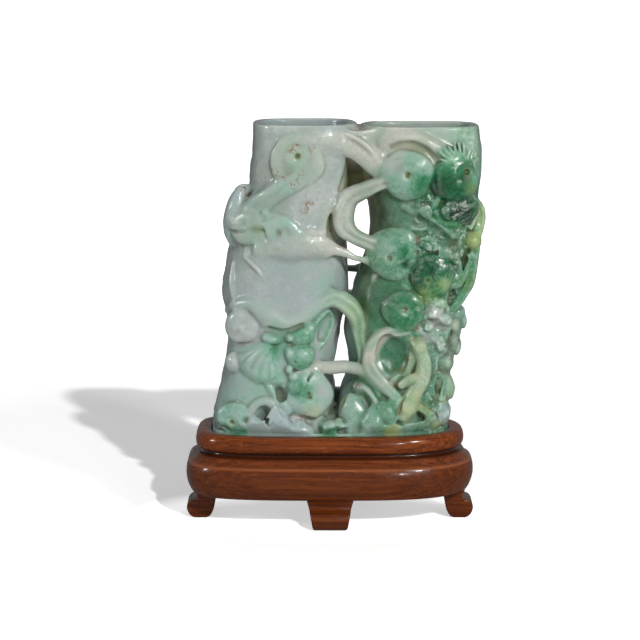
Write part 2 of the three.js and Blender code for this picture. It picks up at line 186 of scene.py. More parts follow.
trunks = {
    "left": {
        "stations": [
            (0, -18.9, 18.6), (11.5, -17.3, 18.8), (22.4, -16.4, 17.3), (34.6, -14.6, 17.9),
            (48.1, -14.2, 19.8), (59.6, -13.3, 18.7), (75.2, -10.6, 15.7), (86, -9.6, 15.6),
            (100, -8.2, 16.3),
        ],
        "depthBelow": 15.6,
        "depthAtRim": 15,
    },
    "right": {
        "stations": [
            (0, 19.4, 18), (13.5, 20.6, 17.3), (23.7, 22, 15.9), (35.9, 22.2, 17.8),
            (49.5, 25.2, 17.7), (63.7, 28.6, 16.3), (71.8, 29.2, 16.6), (86, 28.7, 18.9),
            (99.2, 28.5, 18.2),
        ],
        "depthBelow": 15.6,
        "depthAtRim": 13.4,
    },
    "squareness": 2.4,
    "rimSquareness": 3.1,
    "rimSquareFrom": 74,
    "rimSquareOver": 20,
    "rimRounding": 0.9,
    "mouthRounding": 0.8,
    "rimWall": 2.9,
    "floorWall": 5.1,
    "wellDepth": 70.6,
    "swell": 0.34,
    "tooling": 0.2,
}


# A column of a table of stations at some heights, on a smooth curve through them
def along(stations, height, column):
    table = np.array(stations, float)
    slopes = np.gradient(table[:, column])
    slopes[1:-1] = (table[2:, column] - table[:-2, column]) / (table[2:, 0] - table[:-2, 0])
    slopes[0] = (table[1, column] - table[0, column]) / (table[1, 0] - table[0, 0])
    slopes[-1] = (table[-1, column] - table[-2, column]) / (table[-1, 0] - table[-2, 0])
    index = np.clip(np.searchsorted(table[:, 0], height) - 1, 0, len(table) - 2)
    span = table[index + 1, 0] - table[index, 0]
    t = np.clip((height - table[index, 0]) / span, 0, 1)
    start = table[index, column] * (2 * t**3 - 3 * t**2 + 1) + slopes[index] * span * (t**3 - 2 * t**2 + t)
    end = table[index + 1, column] * (3 * t**2 - 2 * t**3) + slopes[index + 1] * span * (t**3 - t**2)
    return start + end


def trunkAt(trunk, height):
    rim = trunk["stations"][-1][0]
    depth = trunk["depthBelow"] + (trunk["depthAtRim"] - trunk["depthBelow"]) * height / rim
    return along(trunk["stations"], height, 1), along(trunk["stations"], height, 2), depth


# How far a point is outside an oval with rounded corners, along the line to its centre
def ovalDistance(x, y, halfX, halfY, squareness):
    size = (np.abs(x / halfX) ** squareness + np.abs(y / halfY) ** squareness) ** (1 / squareness)
    return np.hypot(x, y) * (1 - 1 / np.maximum(size, 0.05))


def asColumn(values):
    return values.astype(np.float32)[None, None, :]


def trunkDistance(trunk, across, inset):
    centre, half, depth = trunkAt(trunk, axes[2].astype(float))
    toRim = easeStep((gridZ - trunks["rimSquareFrom"]) / trunks["rimSquareOver"])
    squareness = trunks["squareness"] + (trunks["rimSquareness"] - trunks["squareness"]) * toRim
    across = across - asColumn(centre)
    return ovalDistance(across, gridY, asColumn(half - inset), asColumn(depth - inset), squareness)


wells = np.full(gridShape, block["outside"], np.float32)
trunkSwells = swells(whole, 11, block["seed"]) * trunks["swell"]
for side in ("left", "right"):
    trunk = trunks[side]
    rim = trunk["stations"][-1][0]
    body = smoothCut(trunkDistance(trunk, handX, 0) + trunkSwells, rim - gridZ, trunks["rimRounding"])
    stone = np.minimum(stone, body)
    floor = rim - trunks["wellDepth"]
    part = np.clip((axes[2] - floor) / (rim - floor), 0, 1)
    wall = trunks["floorWall"] + (trunks["rimWall"] - trunks["floorWall"]) * part
    hollow = smoothCut(trunkDistance(trunk, gridX, wall), gridZ - floor, 5)
    wells = np.minimum(wells, hollow)
print("trunks shaped")


# Left and right stone before any carving: pale at the left and the rim, green and olive at the right, and
# painted shade in olive and yellow on the right trunk's flank by the gap
plain = {
    "green": {"left": 0.14, "foot": 0.16, "right": 0.42, "paler": 0.3, "farRim": 0.12},
    "olive": {"right": 0.4, "gapFlankShade": 0.5},
    "lavender": {"left": 0.14, "low": 0.3, "rim": 0.1},
    "yellow": {"right": 0.06, "gapFlankShade": 0.25, "rim": 0.1},
}
green, olive, lavender, yellow = plain.values()
gapX = 6.5
toRight = easeStep((gridX - gapX + 3) / 7) + 0 * gridY + 0 * gridZ
toRim = easeStep((gridZ - 78) / 14)
nearFoot = easeStep((38 - gridZ) / 26)
rightCentre, rightHalf, _ = (asColumn(v) for v in trunkAt(trunks["right"], axes[2].astype(float)))
# painted shade: olive and yellow darken the right trunk's flank where it turns into the gap
gapFlankShade = easeStep(((rightCentre - gridX) / rightHalf - 0.45) / 0.4)
hues["green"] += green["left"] + green["foot"] * nearFoot * (1 - toRight)
hues["green"] += toRight * (green["right"] - green["paler"] * toRim)
hues["green"] += toRight * toRim * green["farRim"] * easeStep((gridX - 32) / 12)
hues["olive"] += toRight * (1 - toRim) * (olive["right"] + olive["gapFlankShade"] * gapFlankShade)
hues["lavender"] += (1 - toRight) * (lavender["left"] + lavender["low"] * easeStep((60 - gridZ) / 12))
hues["lavender"] += toRight * toRim * lavender["rim"]
hues["yellow"] += toRight * (yellow["right"] + yellow["gapFlankShade"] * gapFlankShade * (1 - toRim) + yellow["rim"] * toRim)
insideWell = easeStep((1.6 - wells) / 1.4) * easeStep((gridZ - 60) / 30)
tinge(whole, {"lavender": 0.9, "olive": 0.15}, insideWell)
tinge(whole, {"green": 0.16}, insideWell * 0.7)


# Half depth of the trunks' skin at a place seen from the front
def skinDepth(x, z):
    height = np.array([float(z)])
    left = [float(v[0]) for v in trunkAt(trunks["left"], height)]
    right = [float(v[0]) for v in trunkAt(trunks["right"], height)]
    gap = (left[0] + left[1] + right[0] - right[1]) / 2
    centre, half, depth = left if x < gap else right
    out = min(abs(x - centre) / half, 0.96)
    return depth * (1 - out ** trunks["squareness"]) ** (1 / trunks["squareness"])


# Half depth of the left trunk's skin over a window
def leftSkin(view):
    centre, half, depth = (v[None, None, :] for v in trunkAt(trunks["left"], axes[2][view[2]].astype(float)))
    out = np.minimum(np.abs(gridX[view[0]] - centre) / half, 0.96)
    return depth * (1 - out ** trunks["squareness"]) ** (1 / trunks["squareness"])


# Point on the skin, and the way a form laid on it faces: side -1 is the front, 1 the back
def skin(x, z, side):
    step = 0.5
    turnedOut = 0.55  # how far forms on the curve of a trunk turn to the front or the back
    slopeX = skinDepth(x + step, z) - skinDepth(x - step, z)
    slopeZ = skinDepth(x, z + step) - skinDepth(x, z - step)
    outward = Vector((-slopeX, side, -slopeZ)).normalized()
    outward = outward.lerp(Vector((0, side, 0)), turnedOut).normalized()
    return np.array([x, side * skinDepth(x, z), z]), outward


# Forms laid on the skin

# Distance to a branch through [x, z, radius, y], on the skin where y is left out
def tube(points, side=-1, flat=1, ridges=0, steps=5):
    spots = np.array([[x, y[0] if y else side * skinDepth(x, z), z, radius] for x, z, radius, *y in points])
    padded = np.vstack([2 * spots[0] - spots[1], spots, 2 * spots[-1] - spots[-2]])
    curve = []
    for index in range(1, len(padded) - 2):
        a, b, c, d = padded[index - 1 : index + 3]
        for t in np.arange(steps) / steps:
            line = 2 * b + (c - a) * t
            curve.append(0.5 * (line + (2 * a - 5 * b + 4 * c - d) * t**2 + (3 * b - a - 3 * c + d) * t**3))
    curve.append(spots[-1])
    curve = np.array(curve)
    margin, ridgeDepth = 2.4, 0.3
    low = (curve[:, :3] - curve[:, 3:]).min(0) - margin
    high = (curve[:, :3] + curve[:, 3:]).max(0) + margin
    view = windowAround(low, high)[0]
    result = np.full(tuple(v.stop - v.start for v in view), block["outside"], np.float32)
    for start, end in zip(curve[:-1], curve[1:]):
        reach = max(start[3], end[3]) * max(1, flat) + margin
        inner = windowAround(np.minimum(start, end)[:3] - reach, np.maximum(start, end)[:3] + reach)[0]
        cut = tuple(slice(max(i.start, v.start), min(i.stop, v.stop)) for i, v in zip(inner, view))
        local = tuple(slice(c.start - v.start, c.stop - v.start) for c, v in zip(cut, view))
        x, y, z = handX[cut], gridY[:, cut[1]], handZ[cut]
        run = (end[:3] - start[:3]) * (1, 1 / flat, 1)
        dx, dy, dz = x - start[0], (y - start[1]) / flat, z - start[2]
        t = np.clip((dx * run[0] + dy * run[1] + dz * run[2]) / max(run @ run, 1e-6), 0, 1)
        radius = start[3] + (end[3] - start[3]) * t
        distance = np.sqrt((dx - t * run[0]) ** 2 + (dy - t * run[1]) ** 2 + (dz - t * run[2]) ** 2) - radius
        if ridges:
            sideways = (dx * run[2] - dz * run[0]) / max(math.hypot(run[0], run[2]), 1e-3)
            distance = distance + ridgeDepth * np.cos(sideways / np.maximum(radius, 0.5) * math.pi * ridges)
        result[local] = np.minimum(result[local], distance)
    return view, result


# Window round a spot, and its places across, up and out of the skin
def localPlaces(centre, outward, reach):
    view, x, y, z = windowAround(centre - reach, centre + reach)
    across = Vector((1, 0, 0)) - outward * outward.x
    across.normalize()
    up = across.cross(outward)
    if up.z < 0:
        up = -up
    dx, dy, dz = x - centre[0], y - centre[1], z - centre[2]
    return view, *(dx * axis[0] + dy * axis[1] + dz * axis[2] for axis in (across, up, outward))


whorl = {
    "threefold": 0.035,
    "fivefold": 0.02,
    "lean": 0.08,
    "undercut": 0.1,
    "squareness": 2.6,
    "dimple": 0.42,
    "dimpleWidth": 1.7,
    "rooted": 3.4,
}


# Cushion-shaped whorl: steep undercut edge, flat dome
def domeDistance(form, side):
    radius, rise = form["r"], form["rise"]
    centre, outward = skin(form["x"], form["z"], side)
    centre[1] = form.get("y", centre[1])
    view, u, v, w = localPlaces(centre, outward, radius * form.get("wide", 1) + rise + 1.6)
    tilt = math.radians(form.get("tilt", 0))
    u, v = u * math.cos(tilt) + v * math.sin(tilt), v * math.cos(tilt) - u * math.sin(tilt)
    u = u / form.get("wide", 1)
    turn = np.arctan2(v, u)
    phase = form["x"] * 1.7 + form["z"]
    uneven = 1 + whorl["threefold"] * np.sin(3 * turn + phase)
    uneven = uneven + whorl["fivefold"] * np.sin(5 * turn + 2 * phase)
    lift = np.maximum(w, 0) / (rise * (1 + whorl["lean"] * np.sin(2 * turn + phase)))
    taper = 1 + whorl["undercut"] * np.clip(w, -3, 0)
    flat = np.hypot(u, v) / (radius * taper * uneven)
    size = (flat ** whorl["squareness"] + lift ** whorl["squareness"]) ** (1 / whorl["squareness"])
    length = np.sqrt(u * u + v * v + np.maximum(w, 0) ** 2)
    distance = length * (1 - 1 / np.maximum(size, 0.08))
    if "hole" in form:
        spot, _ = skin(*form["hole"], side)
        away = np.hypot(handX[view] - spot[0], handZ[view] - spot[2])
        distance = distance + whorl["dimple"] * np.exp(-((away / whorl["dimpleWidth"]) ** 2))
    return view, np.maximum(distance, -w - whorl["rooted"])


# Egg-shaped knob: half width, half height, rise out of the skin, tilt in degrees
def eggDistance(x, z, halfX, halfZ, side, rise, tilt):
    centre, _ = skin(x, z, side)
    reach = np.array([max(halfX, halfZ), rise, max(halfX, halfZ)]) + 2
    view, gx, gy, gz = windowAround(centre - reach, centre + reach)
    dx, dy, dz = gx - centre[0], gy - centre[1], gz - centre[2]
    turn = math.radians(tilt)
    dx, dz = dx * math.cos(turn) + dz * math.sin(turn), dz * math.cos(turn) - dx * math.sin(turn)
    size = np.sqrt((dx / halfX) ** 2 + (dy / rise) ** 2 + (dz / halfZ) ** 2)
    length = np.sqrt(dx**2 + dy**2 + dz**2)
    return view, length * (1 - 1 / np.maximum(size, 0.08))


# Leaf that fans out from its stalk, with ribs
def fanDistance(fan):
    reach, half = fan["reach"], math.radians(fan["spread"]) / 2
    low = (fan["x"] - reach - 2, -21, fan["z"] - reach - 2)
    view, x, y, z = windowAround(low, (fan["x"] + reach, -6, fan["z"] + 3))
    dx, dz = x - fan["x"], z - fan["z"]
    out = np.hypot(dx, dz)
    turn = np.arctan2(dz, dx) - math.radians(fan["turn"])
    turn = np.mod(turn + math.pi, 2 * math.pi) - math.pi
    wave = np.cos(turn / half * math.pi * fan["ribs"])
    beside = out * np.sin(np.clip(np.abs(turn) - half, -1.5, 1.5))
    edge = np.maximum(out - reach + fan["scallop"] * wave, beside)
    blade = fan["rise"] * np.sqrt(np.clip(-edge / 2.4, 0, 1))
    rise = blade + fan["rib"] * wave * np.clip(out / reach, 0.2, 1)
    return view, np.maximum(-y - leftSkin(view) - rise, edge)


def add(view, distance, blend, tint):
    stone[view] = smoothUnion(stone[view], distance, blend)
    paint(view, distance, tint)


def carve(view, distance, blend, tint=None):
    stone[view] = smoothCut(stone[view], distance, blend)
    if tint:
        paint(view, distance, tint, 0.7)


# Hole that a drill left in a form that rises out of the skin
def drill(x, z, side, rise, radius=0.95, depth=1.1):
    centre, outward = skin(x, z, side)
    centre = centre + np.array(outward) * rise
    view, u, v, w = localPlaces(centre, outward, radius + depth + 1)
    bowl = np.sqrt((u * u + v * v) / radius**2 + (np.minimum(w, 0) / depth) ** 2)
    carve(view, (bowl - 1) * radius, 0.3, {"olive": 0.35, "yellow": 0.6, "green": 0.4, "lavender": 0})


# Hues that the stone shows, by name; the olive one is partly painted shade
def hue(green, yellow=0.0, olive=0.0, lavender=0.0, marble=0.1):
    return {"green": green, "yellow": yellow, "olive": olive, "lavender": lavender, "marble": marble}


def dome(x, z, r, tint, blend=0.6, rise=2.5, **more):
    return {"x": x, "z": z, "r": r, "hue": tint, "blend": blend, "rise": rise, **more}


pale = hue(0.12, 0.03, 0.02, 0.2)
greyWhite = hue(0.06, 0.14, 0.03, 0.05)
blueGrey = hue(0.24, 0, 0.08, 0.7, 0.3)
mint = hue(0.34, 0.04, 0, 0.1)
greyGreen = hue(0.46, 0.06, 0.2, 0.1, 0.4)
leafGreen = hue(0.58, 0.08)
teal = hue(0.58, 0, 0.18, 0.2, 0.6)
emerald = hue(0.9, 0, 0, 0, 0)
blackGreen = hue(1, 0, 0.3, 0, 0)
lime = hue(0.5, 0.8, 0.02)
cream = hue(0.2, 0.78, 0.03)
shade = hue(0.3, 0.15, 1)

carving = {
    # stone between the trunks: [height, centre, half width, front, back]
    "topWeb": [
        (77.5, 7.6, 5, 5, 9), (84, 7.8, 6.4, 1, 10), (88, 8.2, 7, -7, 10), (92, 8.6, 8, -11.6, 11),
        (98.2, 9.2, 8.4, -12.9, 11),
    ],
    "rockSaddle": [(0, 1, 9, -16, 16), (5.5, 2, 6.4, -13.5, 14.5), (9.3, 2.4, 3, -8, 11)],
    # whorls and round leaves as domes, some drilled
    "frontDomes": [
        dome(-10.4, 89, 8.3, hue(0.2, 0.14, 0.04), 1.3, 1.5, hole=(-10.2, 90.5)),
        dome(-25.2, 68, 5.8, hue(0.24, 0.04, 0.15), wide=1.22),
        dome(-14.6, 66.4, 4.6, mint, 1.4, 1.3, wide=1.4, tilt=-32),
        dome(-27.5, 37, 5.5, pale, 0.5, 2.6),
        dome(-28, 36.6, 2.9, pale, 0.25, 3.1),
        dome(-6.8, 15.4, 7.6, mint, 0.6, 2.9, hole=(-6.9, 15.1)),
        dome(-29.8, 6.8, 6.2, hue(0.46, 0, 0.08), 0.6, 2.4, hole=(-30.4, 6.1)),
        dome(-0.3, 4.4, 2.7, leafGreen, 0.4, 2.2, y=-15.8),
        dome(2.8, 6, 1.9, leafGreen, 0.4, 1.4, y=-15.2),
        dome(38.6, 83.2, 7.5, emerald, 0.6, 3, hole=(41.6, 85.6)),
        dome(23.9, 84.6, 8, hue(0.34, 0.03, 0.1), 0.5, 2.8, hole=(24.2, 84.4)),
        dome(40.8, 73.4, 4.8, blackGreen, 0.6, 2.3, wide=1.15),
        dome(19.3, 60, 8.3, greyGreen, 0.5, 2.9, hole=(18.9, 58.8)),
        dome(31.7, 53, 7, emerald, 0.5, 2.7, hole=(30.4, 52)),
        dome(23, 41.9, 6.6, hue(0.66, 0.03, 0.1), 0.5, 2.3, hole=(23.3, 42.2)),
    ],
    "backDomes": [
        dome(-14, 82, 7.4, mint, 1.2, hole=(-14, 82)),
        dome(-22, 52, 6.6, pale, 1.2, hole=(-22, 52)),
        dome(31, 74, 7.8, leafGreen, 1.2, hole=(31, 74)),
        dome(25, 40, 7, greyGreen, 1.2, hole=(25, 40)),
        dome(-8, 24, 6.2, mint),
    ],
    # branches and limbs: hue, blend, flatness, ridges and [x, z, radius, y]
    "frontBranches": [
        # crossings over the gap
        (greyWhite, 2.6, 0.6, 0, [(-9, 95.6, 1), (-3.4, 95.6, 2.6), (3.4, 94.6, 3.4, -12),
         (8.7, 92.2, 3.4, -12.4), (12.7, 88.9, 3.1, -12.6), (17, 83.4, 2)]),
        (greyWhite, 0.7, 1, 0, [(4, 97.4, 0.5, -13.2), (8.4, 95.8, 0.7, -14), (12.2, 92.4, 0.7, -14.2),
         (15, 88.4, 0.6, -13.6)]),
        (greyWhite, 0.9, 0.72, 2.2, [(20, 83, 2.4), (12.4, 80.2, 3.1, -12.6), (6.2, 77.2, 3.4, -12.8),
         (3.9, 72.4, 3.8, -12.8), (4.5, 68.2, 3.4, -13), (7.2, 65.4, 2.7, -13.4), (11, 63.6, 2.6, -13.4),
         (16, 62, 2.6)]),
        (greyWhite, 2.8, 0.5, 0, [(-22, 61.4, 1.6), (-13, 62.4, 3.6), (-6, 63.2, 3.9),
         (-1.4, 61.9, 3.2, -13.4)]),
        (greyWhite, 0.9, 0.8, 0, [(-5, 62, 2.6), (0, 61.2, 2.3, -12.8), (4.6, 59.7, 1.45, -12.8),
         (7.8, 58.5, 1, -12.8), (11, 57.8, 1.1, -13), (13.4, 57.2, 1.5)]),
        (greyWhite, 0.6, 1, 0, [(-9.8, 66.6, 0.4), (-5.4, 67, 0.6), (-1.6, 66.8, 0.5, -14.4)]),
        # wavy ledge that bends down over the gap
        (hue(0.22, 0.02, 0, 0.1), 1.6, 0.62, 0, [(-32.4, 41, 1.2), (-29.4, 43.4, 1.7), (-24.6, 43.8, 2.3),
         (-20.4, 41.4, 3.3), (-16.4, 38.9, 3.3), (-12.2, 38.7, 2.7), (-8.4, 40.7, 2.4), (-4.2, 43.6, 2.4),
         (0.6, 46, 2.5, -13)]),
        (hue(0.36, 0.3), 1, 0.85, 2, [(-3, 44, 1.6), (1.6, 45.4, 3, -13), (5.8, 43.4, 3.3, -13),
         (8.6, 39.2, 2.9, -12.8), (9.3, 33.5, 2.3, -12.6), (9.8, 26.4, 1.5)]),
        (greyWhite, 0.8, 1, 0, [(-8, 22.8, 1.2), (-4, 23.4, 1.8), (1, 23.4, 2, -12.2), (6, 23.8, 2, -12.4),
         (11.5, 22.4, 2.1), (16, 18.6, 1.9), (22, 13.4, 1.4)]),
        # curled branch and its tip on the right trunk
        (hue(0.08, 0.22, 0, 0, 0), 0.8, 0.8, 1.6, [(24, 35.6, 1), (18, 34.8, 1.9), (13.8, 31, 2.5),
         (12.2, 26.4, 2.5), (13.8, 22, 2.4), (18.5, 17.2, 1.9), (22, 13, 1.2)]),
        (hue(0.3, 0.3, 0.2), 0.5, 1, 0, [(19.6, 19.4, 1), (22.4, 23.6, 1), (25.4, 28.6, 0.9)]),
        # ledge above the right whorls
        (hue(0.12, 0.2, 0.1), 1.6, 0.7, 0, [(15, 93.6, 1), (21.5, 95.2, 2), (27, 95.2, 2.2),
         (32.6, 93, 2.2), (38, 90, 2), (43.5, 87, 1.5)]),
        # stem of the upper left whorl and stub at the edge
        (mint, 2, 0.52, 1.5, [(-11, 83, 2.2), (-15.6, 80.4, 2.7), (-20.4, 77, 2.9), (-25.4, 72.6, 3)]),
        (mint, 0.6, 1, 0, [(-9.5, 89, 0.45), (-8.4, 86, 0.7), (-8.4, 82.8, 0.8), (-10.6, 80.4, 0.8),
         (-15.4, 77.8, 0.8), (-19.4, 74.2, 0.7), (-21.4, 70.2, 0.6)]),
        (mint, 0.6, 1, 0, [(-15.4, 82.2, 0.6), (-20, 80.4, 0.7), (-24.6, 77.2, 0.7), (-28, 72.6, 0.6)]),
        (pale, 0.7, 1, 0, [(-6.4, 97, 0.3), (-3.4, 94.4, 0.6), (-2, 90.6, 0.6), (-2.6, 87, 0.3)]),
        (blueGrey, 1, 1, 0, [(-25.6, 80.2, 0.9, -5), (-28.2, 78.2, 2.5, -6), (-29.8, 72.4, 3, -7),
         (-31, 66.6, 2.9, -6), (-30.6, 62.6, 2, -6)]),
        (hue(0.2, 0.02), 2, 1, 0, [(3.8, 92, 0.5), (2.8, 86, 0.9), (0.6, 79, 1.1), (-1.2, 73, 1.1),
         (-2, 67.4, 0.8)]),
        (pale, 0.8, 1, 0, [(-27, 58.8, 0.3), (-24, 56, 0.7), (-21.6, 53.2, 0.3)]),
        (pale, 1.2, 1, 0, [(-30.6, 56.4, 0.4), (-30.8, 50, 0.9), (-29.4, 44.6, 0.5)]),
        # leaf rims on the left trunk
        (mint, 0.7, 1, 0, [(-20.4, 73, 0.7), (-18.4, 69, 0.9), (-18.6, 63.4, 0.7)]),
        (mint, 0.8, 1, 0, [(-19.6, 72.6, 0.7), (-14, 70.4, 0.9), (-9.6, 66.6, 0.8), (-4, 64.8, 0.6)]),
        (hue(0.5, 0.1), 0.5, 1, 0, [(-5.8, 29.8, 0.6), (-5.8, 36, 0.8), (-1, 41.4, 0.8), (0.4, 37.6, 0.7),
         (-3.4, 29.4, 0.6)]),
        # roots and ridges among the rocks
        (pale, 0.7, 1, 0, [(-25.4, 9.4, 1.2), (-22.4, 12.8, 1.5), (-19, 12.6, 1.6), (-15.5, 8.8, 1.7),
         (-11.4, 7.2, 1)]),
        (mint, 0.7, 1, 0, [(-19.2, 18, 1), (-15.9, 14, 1.6), (-13, 10.4, 1.5)]),
        # leaf ridges and needles on the right trunk
        (greyGreen, 0.8, 1, 0, [(23, 74.6, 1), (28, 71.8, 1.5), (32, 68.8, 1.7), (37.5, 65.2, 1.3)]),
        (leafGreen, 0.6, 1, 0, [(34, 78, 0.8), (32.4, 73.6, 1.1), (34.6, 69.6, 1.1), (39.9, 69.2, 1),
         (44.6, 71.2, 0.9)]),
        (teal, 0.6, 1, 0, [(33.6, 72.6, 0.9), (37.4, 76, 1), (42.4, 78, 1), (45.4, 75.4, 0.8)]),
        (greyGreen, 0.8, 1, 0, [(36.6, 62, 0.5), (40, 58, 0.8), (40.2, 52, 0.8), (37.6, 46.6, 0.8),
         (33.6, 43.6, 0.6)]),
        (leafGreen, 0.5, 1, 0, [(35.4, 48.6, 0.7), (38, 44.4, 0.9), (38.4, 40, 0.7)]),
        (greyGreen, 1, 1, 0, [(33.4, 26, 0.6), (32.8, 20.6, 0.8), (31, 14, 0.6)]),
        # climbing animal: body, fore leg, hind leg, far leg
        (cream, 0.7, 1, 0, [(28, 30, 2.1, -15.4), (29.1, 26.6, 2.2, -15.8), (29.2, 23.4, 2.5, -15.8),
         (28.5, 20, 2.6, -15.8), (26.8, 16.6, 2.8, -15.6), (24.8, 12.6, 3.1, -15.4),
         (23.4, 9.4, 2.4, -15.6)]),
        (cream, 0.5, 1, 0, [(28, 21.6, 1.5, -16.6), (25.2, 20.8, 1.6, -16.6), (22.6, 18.8, 1.3, -16.2)]),
        (lime, 0.5, 1, 0, [(26.8, 12.2, 1.5), (28.9, 10.8, 1.7), (31.2, 8, 1.6), (33.8, 5.2, 1.9)]),
        (hue(0.3, 0.5, 0.3), 0.5, 1, 0, [(26.4, 28, 1.1), (24.8, 25.4, 1.5), (24, 22.4, 1.2)]),
        # upper forms on the right edge
        (hue(0.45, 0.85), 0.6, 1, 1.5, [(44.4, 76.4, 0.9, -4), (46.4, 73.4, 1.6, -5), (47, 70, 1.8, -5.4),
         (46.8, 66.4, 1.6, -6), (45.6, 63.4, 1.4, -7)]),
        (hue(0.35, 0.5), 0.4, 1, 0, [(44.4, 75, 0.6, -8), (45.2, 71.4, 0.9, -8.6), (44.2, 67.4, 0.7, -9)]),
        (leafGreen, 0.5, 1, 1.5, [(45.6, 60, 1.5, -6.6), (44.8, 56.4, 2, -7), (44.2, 52.6, 2.2, -7),
         (42.8, 48.4, 2.1, -7.6), (40.8, 44.4, 1.4, -8.6), (39, 41.8, 0.8, -9.6)]),
        (leafGreen, 0.6, 1, 0, [(43.4, 58.6, 0.6, -9), (42.6, 53.6, 0.9, -9.4), (40.6, 49, 0.8, -10)]),
        # diagonal ridge to the lower chain, and the chain's core in painted shade
        (pale, 0.4, 1, 0, [(27, 36.8, 0.6), (30.6, 33.4, 0.8), (34.6, 29.8, 0.8), (36.6, 28.4, 0.6)]),
        (shade, 0.6, 1, 0, [(40.2, 41.8, 1.2, -7.4), (40, 36, 1.6, -7.4), (38.6, 30, 1.6, -7.6),
         (37.4, 24.6, 1.5, -8), (36.4, 19, 1.6, -8.4)]),
        # cracked edges of the rocks by the gap
        (pale, 0.4, 1, 0, [(8, 17.4, 0.7), (11.4, 16.8, 0.9), (14.6, 12.8, 0.8), (15.4, 9, 0.6)]),
        (leafGreen, 0.4, 1, 0, [(9.6, 21.2, 0.8), (13.2, 19, 0.9), (15.6, 15, 0.8)]),
    ],
    "backBranches": [
        (mint, 1, 1, 0, [(-30, 62, 1.6), (-20, 60, 2.4), (-8, 55, 2.6), (1, 52.4, 1.6, 12),
         (6, 51.8, 1.15, 12), (11, 52.2, 1.5, 12), (20, 57, 2.4), (28, 63, 2.2)]),
        (pale, 1, 1, 0, [(-24, 24, 1.8), (-15, 31, 2.4), (-4, 39, 2.6), (6, 42, 2.6, 13), (16, 39, 2.2),
         (26, 30, 1.8)]),
        (leafGreen, 1, 1, 0, [(20, 92, 1.6), (30, 88, 2.4), (38, 82, 2.2), (38, 74, 1.6)]),
    ],
    # knobs, leaves and rocks: hue, blend and x, z, half width, half height, rise, tilt
    "frontKnobs": [
        # leaf of the fan and lobes beside it
        (mint, 0.5, -18.4, 33.4, 3.2, 1.8, 2.2, -14),
        (pale, 0.7, -29.8, 24.8, 3.2, 3.4, 2.6, 0),
        (pale, 0.3, -30, 25.2, 1.7, 1.8, 3.2, 0),
        (leafGreen, 0.4, -9.2, 34.6, 4.5, 3.6, 2.7, 10),
        (mint, 0.3, -6.6, 36.6, 2.2, 1.8, 3, 35),
        (leafGreen, 0.3, -9.3, 27.4, 4.8, 4.3, 3.1, 0),
        (mint, 0.25, -13, 33.6, 1.5, 1.5, 2.7, 0),
        (mint, 0.3, -12.8, 28.8, 1.7, 2.2, 2.6, 15),
        (mint, 0.25, -13, 23.6, 1.2, 1.7, 2.3, -10),
        (mint, 0.25, -11.6, 21.2, 1.8, 1.6, 2.3, 20),
        (teal, 0.3, -11.4, 17.6, 2.4, 2.6, 3.2, 20),
        # rocks from the left to the right
        (blueGrey, 0.6, -23, 3.4, 5, 5.6, 3.2, 16),
        (blueGrey, 0.5, -16, 3, 4.4, 7, 3.6, -18),
        (blueGrey, 0.5, -9.4, 2.2, 4.6, 5.8, 3.2, 24),
        (blueGrey, 0.5, -4, 2.6, 3, 5.2, 3, -12),
        (hue(0.34, 0, 0.08, 0.3, 0.3), 0.4, 8, 6.4, 5.4, 9.6, 3.4, 12),
        (hue(0.4, 0.02, 0.08, 0.3, 0.4), 0.4, 13.2, 5, 4, 8, 3.6, -14),
        (greyGreen, 0.4, 17.8, 9.6, 3.2, 4.4, 3, 30),
        (greyGreen, 0.35, 16.6, 3, 3.2, 3.6, 3.8, 0),
        (lime, 0.3, 19.8, 3.8, 2.7, 3, 3.9, 0),
        (greyGreen, 0.4, 25.6, 2.6, 4, 4.6, 3, 20),
        (teal, 0.4, 30, 4, 3.6, 5.4, 2.6, -20),
        (blueGrey, 0.4, 35, 9, 2.7, 5.2, 3.4, 0),
        (greyGreen, 0.4, 20.6, 12.4, 3, 2.6, 2.6, -30),
        # leaf cluster below the emerald whorl, and lumps under it
        (emerald, 0.3, 37, 73.4, 2.9, 3.1, 3.4, 30),
        (emerald, 0.3, 41.4, 75.4, 2.2, 3, 4, -10),
        (leafGreen, 0.3, 44.6, 74.8, 1.5, 2.7, 3.4, 10),
        (greyGreen, 0.4, 29.4, 73.2, 2.6, 2.2, 2.6, -20),
        (pale, 0.3, 27.8, 70, 1.8, 1.4, 2.2, -30),
        (teal, 0.4, 30.6, 63.4, 3.8, 2.2, 2.2, -24),
        (greyGreen, 0.4, 35.6, 60.8, 2.8, 2.8, 2.6, 20),
        (teal, 0.4, 38.6, 60, 1.8, 3.2, 2.6, 10),
        # leaves between the lower whorls and the edge chain
        (hue(0.42, 0.35), 0.4, 32.6, 45.2, 4.4, 2.2, 1.9, -24),
        (pale, 0.3, 32.6, 41.2, 2.8, 2.1, 2.1, 30),
        (teal, 0.3, 35.8, 39, 2.8, 1.9, 2.3, -35),
        (greyGreen, 0.3, 30.8, 37.2, 2.2, 1.7, 2, 20),
        (pale, 0.25, 34.2, 30.4, 2.2, 1.7, 2.4, -40),
    ],
    # smooth forms over the rough stone: the edge's pods from the top, and the animal's head, ear and haunch
    "smoothKnobs": [
        (lime, 0.3, 44.7, 63, 3.1, 3.2, 4.4, 0),
        (leafGreen, 0.3, 46, 66.8, 1.2, 1.8, 3, 0),
        (hue(0.36, 0.04, 0, 0.1), 0.3, 40.2, 40.2, 2.6, 2.3, 3.6, 20),
        (mint, 0.25, 42, 37.4, 1.4, 2.6, 2.6, 0),
        (hue(0.16, 0.5), 0.2, 39.2, 36.4, 1.9, 2.9, 4, 0),
        (hue(0.24, 0.6, 0.1), 0.2, 38.8, 31.6, 2.3, 2.7, 3.8, 0),
        (hue(0.3, 0.4, 0.1), 0.2, 40.2, 29.6, 1.5, 2.9, 3, 0),
